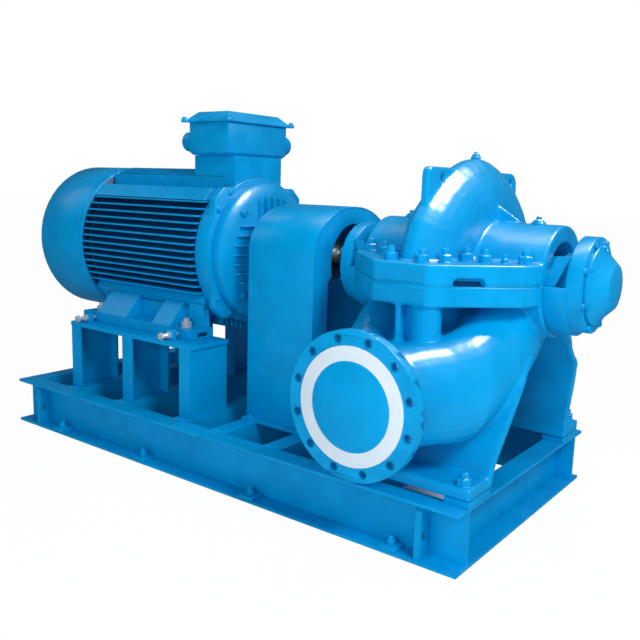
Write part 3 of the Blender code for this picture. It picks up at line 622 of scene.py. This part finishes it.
def sliced(bm, planes, outer):
    """Keep what lies outside any of the planes, or only what lies inside them all."""
    for point, normal in planes:
        bmesh.ops.bisect_plane(
            bm,
            geom=[*bm.verts, *bm.edges, *bm.faces],
            plane_co=point,
            plane_no=normal,
            clear_outer=not outer,
        )
    if outer:
        inner = []
        for face in bm.faces:
            centre = face.calc_center_median()
            if all((centre - point).dot(normal) < 0 for point, normal in planes):
                inner.append(face)
        bmesh.ops.delete(bm, geom=inner, context="FACES")


def cast_surface(node, planes):
    """Stand a copy in a casting's place, rounded by the mould and crisp past the planes."""
    blank = bpy.data.meshes.new(node + "_blank")
    bm = merged_copy(node)
    bm.to_mesh(blank)
    obj = bpy.data.objects.new(node + "_blank", blank)
    bpy.context.scene.collection.objects.link(obj)
    remesh = obj.modifiers.new("Remesh", "REMESH")
    remesh.mode = "VOXEL"
    remesh.voxel_size = sizes().cast_grain
    ease = obj.modifiers.new("Smooth", "SMOOTH")
    ease.factor = 0.5
    ease.iterations = 6
    thin = obj.modifiers.new("Decimate", "DECIMATE")
    thin.ratio = 0.55
    graph = bpy.context.evaluated_depsgraph_get()
    rounded = bpy.data.meshes.new_from_object(obj.evaluated_get(graph))
    bpy.data.objects.remove(obj, do_unlink=True)
    sliced(bm, planes, True)
    body = bmesh.new()
    body.from_mesh(rounded)
    sliced(body, planes, False)
    body.to_mesh(rounded)
    body.free()
    bm.from_mesh(rounded)
    bpy.data.meshes.remove(rounded)
    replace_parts(make_piece(node + "_surface", bm, CAST), node)


# Operators


class PUMPSET_OT_finishes(bpy.types.Operator):
    """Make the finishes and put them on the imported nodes"""

    bl_idname = "pumpset.finishes"
    bl_label = "Finishes"

    def execute(self, context):
        cast = enamel_on(
            CAST, wave=0.034, depth=0.0011, grain=0.00024, rough=0.28, edge=0.004, gloss=0.16
        )
        sheet = enamel_on(
            SHEET, wave=0.110, depth=0.0012, grain=0.00008, rough=0.24, edge=0.002, gloss=0.12
        )
        rolled = enamel_on(
            ROLLED, wave=0.060, depth=0.0008, grain=0.00012, rough=0.28, edge=0.0025, gloss=0.12
        )
        bright_zinc()
        steel = turned_steel()
        white = white_enamel()
        shadowed_enamel()
        chosen = {}
        for nodes, material in (
            (CAST_NODES, cast),
            (SHEET_NODES, sheet),
            (SHAFT_NODES, steel),
            (COVER_NODES, white),
        ):
            chosen.update(dict.fromkeys(nodes, material))
        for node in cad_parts:
            for slot in bpy.data.objects[node].material_slots:
                slot.material = chosen.get(node, rolled)
        return {"FINISHED"}


class PUMPSET_OT_surfaces(bpy.types.Operator):
    """Rounded and smoothly shaded surfaces in place of the castings and turned or bent parts"""

    bl_idname = "pumpset.surfaces"
    bl_label = "Surfaces"

    def execute(self, context):
        # A band along the split and both nozzle flanges, up to their backs, stay crisp.
        split_margin, flange_depth = 0.006, 0.0370
        suction_back = Vector((0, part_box("suction_cover")[1].y + flange_depth, 0))
        discharge_back = Vector((0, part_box("discharge_cover")[0].y - flange_depth, 0))
        above, below = Z * (SHAFT_Z + split_margin), Z * (SHAFT_Z - split_margin)
        cast_surface("casing_upper", ((above, -Z),))
        cast_surface("casing_lower", ((below, Z), (suction_back, -Y), (discharge_back, Y)))
        for nodes, finish_name, edge in SMOOTH_SURFACES:
            for node in nodes:
                smooth_surface(node, finish_name, edge)
        return {"FINISHED"}


class PUMPSET_OT_split_studs(bpy.types.Operator):
    """Studs and nuts along the casing's split flange"""

    bl_idname = "pumpset.split_studs"
    bl_label = "Split flange studs"

    def execute(self, context):
        size = sizes().split_stud
        seat = SPLIT_TOP - DEEP_SEAT
        places = ((0.050, 0.390), (0.087, 0.329), (0.106, 0.236), (0.165, 0.242), (0.258, 0.180))
        small_across, small_along = 0.207, 0.203
        bm = bmesh.new()
        for side_x in SIDES:
            for side_y in SIDES:
                for number, (across, along) in enumerate(places):
                    base = (PUMP_X + side_x * across, side_y * along, seat)
                    add_stud(bm, base, Z, size, 0.016, 0.4 * number)
                base = (PUMP_X + side_x * small_across, side_y * small_along, seat)
                add_stud(bm, base, Z, size * 0.6, 0.010, 0.2)
        make_piece("split_flange_studs", bm, ROLLED)
        return {"FINISHED"}


class PUMPSET_OT_casing_trim(bpy.types.Operator):
    """Seal plugs, air vent, painted shade in each pry slot, and foot bolts of the casing"""

    bl_idname = "pumpset.casing_trim"
    bl_label = "Casing trim"

    def execute(self, context):
        plug_across, barrel_top = 0.217, SHAFT_Z + 0.1645
        bm = bmesh.new()
        for side in SIDES:
            base = Vector((PUMP_X + side * plug_across, 0.0, barrel_top))
            add_rod(bm, base, Z, 0.022, 0.006, 24, 0.001)
            add_hexagon(bm, base + Z * 0.005, Z, 0.030, 0.008, 0.2)
            add_hexagon(bm, base + Z * 0.012, Z, 0.016, 0.011, 0.4)
        make_piece("barrel_seal_plugs", bm, CAST)

        bm = bmesh.new()
        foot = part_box("volute_air_plug")[0].z
        add_rod(bm, (PUMP_X, 0.0, foot), Z, 0.0155, 0.007, 28, 0.001)
        add_hexagon(bm, (PUMP_X, 0.0, foot + 0.006), Z, 0.022, 0.009, 0.2)
        add_rod(bm, (PUMP_X, 0.0, foot + 0.014), Z, 0.006, 0.008, 16, 0.0012)
        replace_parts(make_piece("volute_air_vent", bm, CAST), "volute_air_plug")

        # Directions along and into the flange's slanted edge, from the corner where it starts.
        along_x, along_y = 0.7033, 0.7108
        corner_x, corner_y = 0.0845, 0.4286
        bm = bmesh.new()
        for side in SIDES:
            along = Vector((along_x, along_y, 0.0)) * side
            inward = Vector((-along_y, along_x, 0.0)) * side
            corner = Vector((PUMP_X + side * corner_x, -side * corner_y, SHAFT_Z))
            turn = Matrix.Translation(corner) @ Matrix((along, inward, Z)).transposed().to_4x4()
            # A dark liner at the back of each pry slot, painted shade that deepens the recess.
            add_block(bm, (0.0805, 0.0205, 0.0002), (0.1655, 0.0218, 0.0216), matrix=turn)
        make_piece("pry_slot_painted_shade", bm, PAINTED_SHADE)

        bolt_across, bolt_along, pad_top = 0.222, 0.398, 0.2316
        bm = bmesh.new()
        for side_x in SIDES:
            for side_y in SIDES:
                base = (PUMP_X + side_x * bolt_across, side_y * bolt_along, pad_top)
                add_stud(bm, base, Z, 0.024, 0.016, 0.3)
        make_piece("pump_foot_bolts", bm, ROLLED)
        return {"FINISHED"}


class PUMPSET_OT_bearing_fittings(bpy.types.Operator):
    """Bolts, studs, arms and nipple of the bearing brackets, caps and glands"""

    bl_idname = "pumpset.bearing_fittings"
    bl_label = "Bearing fittings"

    def execute(self, context):
        size = sizes().cover_bolt
        bracket_circle, bracket_face = 0.1275, 0.4035
        cover_circle, cover_rim = 0.1085, 0.010
        gland_circle, gland_face, gland_stud = 0.056, 0.2725, 0.012
        arm_shape = (
            (0.279, 0.733),
            (0.312, 0.733),
            (0.3608, 0.846),
            (0.3608, 0.852),
            (0.324, 0.850),
        )
        arm_side, arm_thickness = 0.118, 0.012
        cap_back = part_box("bearing_cap_free")[0].x
        rims = {
            -1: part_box("bearing_cover_drive")[1].x - cover_rim,
            1: cap_back + cover_rim,
        }
        brackets, covers, glands, arms = (bmesh.new() for _ in range(4))
        for end in SIDES:
            axis = X * end
            for number in range(8):
                y, z = polar(bracket_circle, 22.5 + 45 * number)
                base = (PUMP_X + end * bracket_face, y, z)
                add_bolt(brackets, base, axis, size * 0.9, 0.3 * number)
            for number in range(6):
                y, z = polar(cover_circle, 30 + 60 * number)
                base = (rims[end] - end * SEAT, y, z)
                add_bolt(covers, base, axis, size * 0.8, 0.25 * number, False)
            for turn in (20, 160):
                y, z = polar(gland_circle, turn)
                base = (PUMP_X + end * gland_face, y, z)
                add_stud(glands, base, axis, gland_stud, 0.022, 0.3)
            for side in SIDES:
                corners = [
                    (PUMP_X + end * offset, side * arm_side, height) for offset, height in arm_shape
                ]
                add_rib(arms, corners, arm_thickness, Y)
        make_piece("bearing_bracket_arms", arms, CAST)
        foot = Vector((cap_back + 0.018, 0.0, SHAFT_Z + 0.094))
        add_hexagon(covers, foot, Z, 0.013, 0.010, 0.2)
        add_rod(covers, foot + Z * 0.009, Z, 0.004, 0.010, 12, 0.0015)
        make_piece("bearing_bracket_bolts", brackets, ROLLED)
        make_piece("bearing_cover_bolts", covers, ROLLED)
        make_piece("gland_studs", glands, ZINC)
        return {"FINISHED"}


class PUMPSET_OT_nozzle_discs(bpy.types.Operator):
    """Blue middles of the white discs on both flanges, and rims of the bolt holes"""

    bl_idname = "pumpset.nozzle_discs"
    bl_label = "Nozzle discs"

    def execute(self, context):
        raised = 0.0006
        for name, node, side, share in (
            ("suction_disc_centre", "suction_cover", -1, 1.0),
            ("discharge_disc_centre", "discharge_cover", 1, 0.82),
        ):
            low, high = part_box(node)
            centre = (low + high) / 2
            face = low.y if side < 0 else high.y
            radius = sizes().disc_centre * share
            bm = bmesh.new()
            profile = [
                (0.0, -SEAT),
                (radius, -SEAT),
                (radius, 0.0004),
                (radius - 0.0004, raised),
                (0.0, raised),
            ]
            add_turned(bm, profile, (centre.x, face, centre.z), Y * side, 64)
            make_piece(name, bm, SHEET)

        hole, rim_height, rim_edge = 0.0115, 0.0003, 0.0150
        profile = (
            (hole, 0.0),
            (hole, rim_height),
            (rim_edge, rim_height),
            (0.0152, 0.0),
            (hole, 0.0),
        )
        bm = bmesh.new()
        for node, side, holes, circle, share in (
            ("suction_cover", -1, 12, 0.181, 1.0),
            ("discharge_cover", 1, 8, 0.14925, 0.874),
        ):
            low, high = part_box(node)
            face = (high.y if side < 0 else low.y) - side * rim_height
            for number in range(holes):
                angle = math.tau * (number + 0.5) / holes
                x = PUMP_X + circle * math.cos(angle)
                z = (low.z + high.z) / 2 + circle * math.sin(angle)
                rim = [(radius * share, height) for radius, height in profile]
                add_turned(bm, rim, (x, face, z), Y * side, 24)
        make_piece("nozzle_hole_rims", bm, CAST)
        return {"FINISHED"}


class PUMPSET_OT_motor_shield(bpy.types.Operator):
    """Ribs and bolts of the motor's drive-end shield and ring"""

    bl_idname = "pumpset.motor_shield"
    bl_label = "Motor shield"

    def execute(self, context):
        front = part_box("motor_end_shield_drive")[1].x
        root, tip = front - 0.050, front - 0.006
        level_pitch, level_reach, level_end = 0.0345, 0.196, front - 0.022
        upright_pitch, upright_reach, upright_end = 0.036, 0.206, front - 0.024
        hub, foot, thickness = 0.122, 0.012, 0.007
        bm = bmesh.new()
        for side in SIDES:
            for number in range(-3, 4):
                z = SHAFT_Z + number * level_pitch
                near = chord(hub, number * level_pitch)
                far = chord(level_reach, number * level_pitch)
                corners = [
                    (root, side * near, z),
                    (tip, side * near, z),
                    (level_end, side * far, z),
                    (root, side * (far + foot), z),
                ]
                add_rib(bm, corners, thickness, Z)
            for number in range(-2, 3):
                y = number * upright_pitch
                near, far = chord(hub, y), chord(upright_reach, y)
                corners = [
                    (root, y, SHAFT_Z + side * near),
                    (tip, y, SHAFT_Z + side * near),
                    (upright_end, y, SHAFT_Z + side * far),
                    (root, y, SHAFT_Z + side * (far + foot)),
                ]
                add_rib(bm, corners, thickness, Y)
        make_piece("motor_shield_ribs", bm, CAST)

        size = sizes().cover_bolt
        shield_circle, ring_circle = 0.214, 0.276
        ring_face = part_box("motor_end_ring")[1].x
        bm = bmesh.new()
        for quarter in range(4):
            y, z = polar(shield_circle, 45 + 90 * quarter)
            add_bolt(bm, (front - 0.038, y, z), X, size * 1.25, 0.2)
        for quarter in range(4):
            for offset in (-9, 9):
                y, z = polar(ring_circle, 45 + 90 * quarter + offset)
                add_bolt(bm, (ring_face - SEAT, y, z), X, size, 0.3)
        make_piece("motor_shield_bolts", bm, ROLLED)
        return {"FINISHED"}


class PUMPSET_OT_motor_mounting(bpy.types.Operator):
    """Hold-down bolts, jack bolts with their lugs, foot webs, and painted shade at each foot rail's
    slot
    """

    bl_idname = "pumpset.motor_mounting"
    bl_label = "Motor mounting"

    def execute(self, context):
        rail_low, rail_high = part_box("motor_foot_front")
        rail_top = rail_low.z + 0.038
        plate_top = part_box("motor_pedestal_front")[1].z
        bolt_places, bolt_across = (-0.306, -0.812), 0.268
        bm = bmesh.new()
        for side in SIDES:
            for x in bolt_places:
                base = (x, side * bolt_across, rail_top - SEAT)
                add_stud(bm, base, Z, sizes().foot_bolt, 0.012, 0.2)
        make_piece("motor_hold_down_bolts", bm, ZINC)

        lug_half, lug_near, lug_far, lug_height = 0.020, 0.332, 0.350, 0.038
        jack_places, jack_height, jack_width = (-0.307, -0.803), 0.0185, 0.024
        tip_across, nut_across, head_across = 0.3122, 0.3505, 0.376
        lugs, screws = bmesh.new(), bmesh.new()
        for side in SIDES:
            outward = Y * side
            for x in jack_places:
                near, far = sided(side, lug_near, lug_far)
                low = (x - lug_half, near, plate_top - DEEP_SEAT)
                high = (x + lug_half, far, plate_top + lug_height)
                add_block(lugs, low, high, 0.0015)
                centre = Vector((x, side * head_across, plate_top + jack_height))
                add_hexagon(screws, centre + outward * 0.010, outward, jack_width, 0.013, 0.3)
                start = Vector((x, side * tip_across, centre.z))
                add_rod(screws, start, outward, 0.008, 0.078, 14, 0.001)
                nut = Vector((x, side * nut_across, centre.z))
                add_hexagon(screws, nut, outward, jack_width, 0.012, 0.1)
        web_start, web_end = rail_low.x + 0.030, -0.238
        slot_low, slot_high = rail_low.z + 0.009, rail_low.z + 0.024
        webs, slot_shade = bmesh.new(), bmesh.new()
        for side in SIDES:
            near, far = sided(side, 0.213, 0.221)
            low = (web_start, near, rail_top - DEEP_SEAT)
            add_block(webs, low, (web_end, far, rail_top + 0.066))
            # Dark blocks at the foot rails' ends, painted shade for the shadowed inside of each
            # rail's slot.
            near, far = sided(side, 0.228, 0.276)
            low = (rail_high.x - 0.002, near, slot_low)
            add_block(slot_shade, low, (rail_high.x + 0.0004, far, slot_high))
        make_piece("motor_foot_webs", webs, CAST)
        make_piece("motor_foot_slot_painted_shade", slot_shade, PAINTED_SHADE)
        make_piece("motor_jack_lugs", lugs, ROLLED)
        make_piece("motor_jack_bolts", screws, ZINC)
        return {"FINISHED"}


class PUMPSET_OT_fan_cover(bpy.types.Operator):
    """Inlet grille, screws and rim of the fan cover, and the shade between the frame's fins"""

    bl_idname = "pumpset.fan_cover"
    bl_label = "Fan cover"

    def execute(self, context):
        low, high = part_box("motor_fan_cover")
        radius = (high.z - low.z) / 2
        inlet = Vector((low.x, 0.0, SHAFT_Z))
        bm = bmesh.new()
        # A dark disc inside the inlet, painted shade behind the grille.
        profile = [(0.0, -0.002), (0.262, -0.002), (0.262, 0.0002), (0.0, 0.0002)]
        add_turned(bm, profile, inlet, -X, 64)
        make_piece("fan_inlet_shadow", bm, PAINTED_SHADE)

        wire, first_ring, ring_pitch = 0.0018, 0.046, 0.0265
        bm = bmesh.new()
        for number in range(9):
            add_ring(bm, inlet, -X, first_ring + number * ring_pitch, wire, 72, 6)
        for number in range(8):
            angle = math.radians(22.5 + 45 * number)
            direction = Vector((0.0, math.cos(angle), math.sin(angle)))
            add_rod(bm, inlet + direction * 0.040, direction, wire, 0.222, 8)
        profile = [(0.0, 0.0), (0.044, 0.0), (0.044, 0.0012), (0.041, wire), (0.0, wire)]
        add_turned(bm, profile, inlet, -X, 40)
        make_piece("fan_inlet_grille", bm, SHEET)

        screws = Vector((high.x - 0.030, 0.0, SHAFT_Z))
        bm = bmesh.new()
        for degrees in (18, 72, 108, 162, 198, 252, 288, 342):
            angle = math.radians(degrees)
            direction = Vector((0.0, math.cos(angle), math.sin(angle)))
            add_bolt(bm, screws + direction * (radius - DEEP_SEAT), direction, 0.008, 0.2)
        make_piece("fan_cover_screws", bm, ROLLED)

        inner, outer, rim_width = radius - DEEP_SEAT, radius + 0.0016, 0.010
        bm = bmesh.new()
        profile = [(inner, 0.0), (outer, 0.0), (outer, rim_width), (inner, rim_width)]
        profile.append(profile[0])
        add_turned(bm, profile, (high.x - 0.0105, 0.0, SHAFT_Z), X, 96)
        make_piece("fan_cover_rim", bm, SHEET)

        frame_low, frame_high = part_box("motor_frame")
        # Dark sleeves under the fins and a dark ring at the fan cover's lip, painted shade in the
        # gaps between the fins.
        fin_root, fin_tip, margin, thickness = 0.2640, 0.3010, 0.006, 0.0006
        bm = bmesh.new()
        for first, last in ((-36, 46), (134, 216)):
            add_sleeve(bm, 0.2632, frame_low.x + margin, frame_high.x - margin, first, last)
        ring = [
            (fin_root, 0.0),
            (fin_tip, 0.0),
            (fin_tip, thickness),
            (fin_root, thickness),
            (fin_root, 0.0),
        ]
        add_turned(bm, ring, (high.x + thickness, 0.0, SHAFT_Z), X, 72)
        make_piece("fin_gap_shadow", bm, PAINTED_SHADE)
        return {"FINISHED"}


class PUMPSET_OT_terminal_box(bpy.types.Operator):
    """Lid bolts and cable glands of the terminal box"""

    bl_idname = "pumpset.terminal_box"
    bl_label = "Terminal box"

    def execute(self, context):
        low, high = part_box("terminal_box_lid")
        body_low, body_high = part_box("terminal_box_body")
        centre = middle("terminal_box_lid")
        inset, ear_height = 0.013, 0.0115
        bm = bmesh.new()
        for side_x in SIDES:
            for side_y in SIDES:
                x = centre.x + side_x * ((high.x - low.x) / 2 - inset)
                y = centre.y + side_y * ((high.y - low.y) / 2 - inset)
                add_bolt(bm, (x, y, low.z + ear_height), Z, 0.010, 0.3)
        make_piece("terminal_lid_bolts", bm, ROLLED)

        height, end_gland_y = (body_low.z + body_high.z) / 2 - 0.005, -0.062
        bm = bmesh.new()
        for base, axis in (
            (Vector((centre.x, body_high.y - SEAT, height)), Y),
            (Vector((body_low.x + SEAT, end_gland_y, height)), -X),
        ):
            add_rod(bm, base, axis, 0.036, 0.012, 32, 0.001)
            add_rod(bm, base + axis * 0.0115, axis, 0.027, 0.050, 32)
            add_hexagon(bm, base + axis * 0.030, axis, 0.060, 0.016, 0.2)
            add_rod(bm, base + axis * 0.061, axis, 0.037, 0.040, 36, 0.003)
            add_rod(bm, base + axis * 0.1005, axis, 0.024, 0.006, 24, 0.0015)
        make_piece("terminal_cable_glands", bm, SHEET)
        return {"FINISHED"}


class PUMPSET_OT_guard_fittings(bpy.types.Operator):
    """Feet and bolts of the coupling guard, and the coupling's pins"""

    bl_idname = "pumpset.guard_fittings"
    bl_label = "Guard fittings"

    def execute(self, context):
        low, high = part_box("coupling_guard_shell")
        inset, bolt_out = 0.030, 0.013
        foot_half, foot_width, foot_height = 0.018, 0.024, 0.004
        bm = bmesh.new()
        for side in SIDES:
            for x in (low.x + inset, high.x - inset):
                near, far = sided(side, high.y - SEAT, high.y + foot_width)
                foot_low = (x - foot_half, near, low.z)
                foot_high = (x + foot_half, far, low.z + foot_height)
                add_block(bm, foot_low, foot_high, 0.001)
                add_bolt(bm, (x, side * (high.y + bolt_out), low.z + 0.0038), Z, 0.010, 0.3)
        make_piece("guard_feet", bm, ROLLED)

        pin_circle, nut_width, nut_height = 0.090, 0.018, 0.009
        bm = bmesh.new()
        for number in range(8):
            y, z = polar(pin_circle, 22.5 + 45 * number)
            add_rod(bm, (0.036, y, z), X, 0.008, 0.098, 14, 0.001)
            for x in (0.0335, 0.1275):
                add_hexagon(bm, (x, y, z), X, nut_width, nut_height, 0.2)
        make_piece("coupling_pins", bm, ZINC)
        return {"FINISHED"}


class PUMPSET_OT_base_details(bpy.types.Operator):
    """Anchor tabs with their bolts and the welds of the base frame"""

    bl_idname = "pumpset.base_details"
    bl_label = "Base details"

    def execute(self, context):
        tab_places, tab_half = (-0.841, -0.342, 0.194, 0.736), 0.030
        tab_near, tab_far, tab_bottom, tab_top = 0.418, 0.4765, 0.0098, 0.019
        bolt_across, bolt_foot = 0.449, 0.0188
        tabs, bolts = bmesh.new(), bmesh.new()
        for side in SIDES:
            for x in tab_places:
                near, far = sided(side, tab_near, tab_far)
                low, high = (x - tab_half, near, tab_bottom), (x + tab_half, far, tab_top)
                add_block(tabs, low, high, 0.0015)
                add_stud(bolts, (x, side * bolt_across, bolt_foot), Z, 0.016, 0.012, 0.2)
        make_piece("anchor_tabs", tabs, ROLLED)
        make_piece("anchor_bolts", bolts, ROLLED)

        bead = 0.0035
        welds = bmesh.new()
        for number in range(1, 7):
            low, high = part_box(f"base_cross_channel_{number}")
            for side in SIDES:
                base = (low.x + 0.002, side * (high.y - DEEP_SEAT), high.z)
                add_rod(welds, base, X, bead, high.x - low.x - 0.004, 8)
        make_piece("base_weld_beads", welds, ROLLED)
        return {"FINISHED"}


class PUMPSET_OT_studio(bpy.types.Operator):
    """Floor, lights and camera"""

    bl_idname = "pumpset.studio"
    bl_label = "Studio"

    def execute(self, context):
        bm = bmesh.new()
        bmesh.ops.create_grid(bm, x_segments=1, y_segments=1, size=30.0)
        bmesh.ops.translate(bm, verts=bm.verts, vec=(0, 0, -0.0005))
        mesh = bpy.data.meshes.new("studio_floor")
        bm.to_mesh(mesh)
        bm.free()
        floor = bpy.data.objects.new("studio_floor", mesh)
        context.scene.collection.objects.link(floor)
        mesh.materials.append(floor_paint())
        floor.visible_glossy = False

        sky, paper = (0.45, 0.80, 1.0, 1.0), (1.0, 1.0, 1.0, 1.0)
        world = bpy.data.worlds.new("studio_world")
        world.use_nodes = True
        context.scene.world = world
        tree = world.node_tree
        background = tree.nodes["Background"]
        background.inputs["Color"].default_value = sky
        background.inputs["Strength"].default_value = 0.20
        dim = add_node(tree, "ShaderNodeBackground", {"Color": sky, "Strength": 0.16})
        shown = add_node(tree, "ShaderNodeBackground", {"Color": paper, "Strength": 1.0})
        seen = add_node(tree, "ShaderNodeLightPath")
        around = add_node(
            tree,
            "ShaderNodeMixShader",
            links={0: seen.outputs["Is Glossy Ray"], 1: background.outputs[0], 2: dim.outputs[0]},
        )
        mixed = add_node(
            tree,
            "ShaderNodeMixShader",
            links={0: seen.outputs["Is Camera Ray"], 1: around.outputs[0], 2: shown.outputs[0]},
        )
        tree.links.new(mixed.outputs[0], tree.nodes["World Output"].inputs["Surface"])
        context.scene.view_settings.view_transform = "Standard"
        for name, place, target, size, power, lights, reflects in LAMPS:
            lamp = bpy.data.lights.new(name, "AREA")
            lamp.shape = "RECTANGLE"
            lamp.size, lamp.size_y = size
            lamp.energy = power
            obj = bpy.data.objects.new(name, lamp)
            context.scene.collection.objects.link(obj)
            aim = Vector(target) - Vector(place)
            turn = aim.to_track_quat("-Z", "Y").to_matrix().to_4x4()
            obj.matrix_world = Matrix.Translation(Vector(place)) @ turn
            obj.visible_diffuse = lights
            obj.visible_glossy = reflects

        azimuth, pitch, roll = (
            math.radians(value) for value in (CAMERA_AZIMUTH, CAMERA_PITCH, CAMERA_ROLL)
        )
        forward = Vector(
            (
                -math.sin(azimuth) * math.cos(pitch),
                math.cos(azimuth) * math.cos(pitch),
                -math.sin(pitch),
            )
        )
        level = Vector((math.cos(azimuth), math.sin(azimuth), 0.0))
        above = level.cross(forward)
        right = level * math.cos(roll) + above * math.sin(roll)
        up = above * math.cos(roll) - level * math.sin(roll)
        data = bpy.data.cameras.new("photo_camera")
        data.sensor_width = 36.0
        data.lens = sizes().camera_lens
        camera = bpy.data.objects.new("photo_camera", data)
        context.scene.collection.objects.link(camera)
        turn = Matrix((right, up, -forward)).transposed().to_4x4()
        camera.matrix_world = Matrix.Translation(CAMERA_PLACE) @ turn
        context.scene.camera = camera
        return {"FINISHED"}


class PUMPSET_PT_panel(bpy.types.Panel):
    """Lists the steps that dress the pump set"""

    bl_label = "Pump Set"
    bl_idname = "PUMPSET_PT_panel"
    bl_space_type = "VIEW_3D"
    bl_region_type = "UI"
    bl_category = "Pump Set"

    def draw(self, context):
        column = self.layout.column()
        for group in (context.scene.pump_set_looks, context.scene.pump_set_sizes):
            for name in group.bl_rna.properties.keys():
                if name not in ("rna_type", "name"):
                    column.prop(group, name)
        for step in STEPS:
            column.operator(step.bl_idname)


GROUPS = (PumpSetLooks, PumpSetSizes)
STEPS = (
    PUMPSET_OT_finishes,
    PUMPSET_OT_surfaces,
    PUMPSET_OT_split_studs,
    PUMPSET_OT_casing_trim,
    PUMPSET_OT_bearing_fittings,
    PUMPSET_OT_nozzle_discs,
    PUMPSET_OT_motor_shield,
    PUMPSET_OT_motor_mounting,
    PUMPSET_OT_fan_cover,
    PUMPSET_OT_terminal_box,
    PUMPSET_OT_guard_fittings,
    PUMPSET_OT_base_details,
    PUMPSET_OT_studio,
)


def register():
    for kind in (*GROUPS, *STEPS, PUMPSET_PT_panel):
        bpy.utils.register_class(kind)
    bpy.types.Scene.pump_set_looks = bpy.props.PointerProperty(type=PumpSetLooks)
    bpy.types.Scene.pump_set_sizes = bpy.props.PointerProperty(type=PumpSetSizes)


def unregister():
    del bpy.types.Scene.pump_set_sizes
    del bpy.types.Scene.pump_set_looks
    for kind in reversed((*GROUPS, *STEPS, PUMPSET_PT_panel)):
        bpy.utils.unregister_class(kind)


def main():
    register()
    for step in STEPS:
        group, name = step.bl_idname.split(".")
        getattr(getattr(bpy.ops, group), name)()


if __name__ == "__main__":
    main()
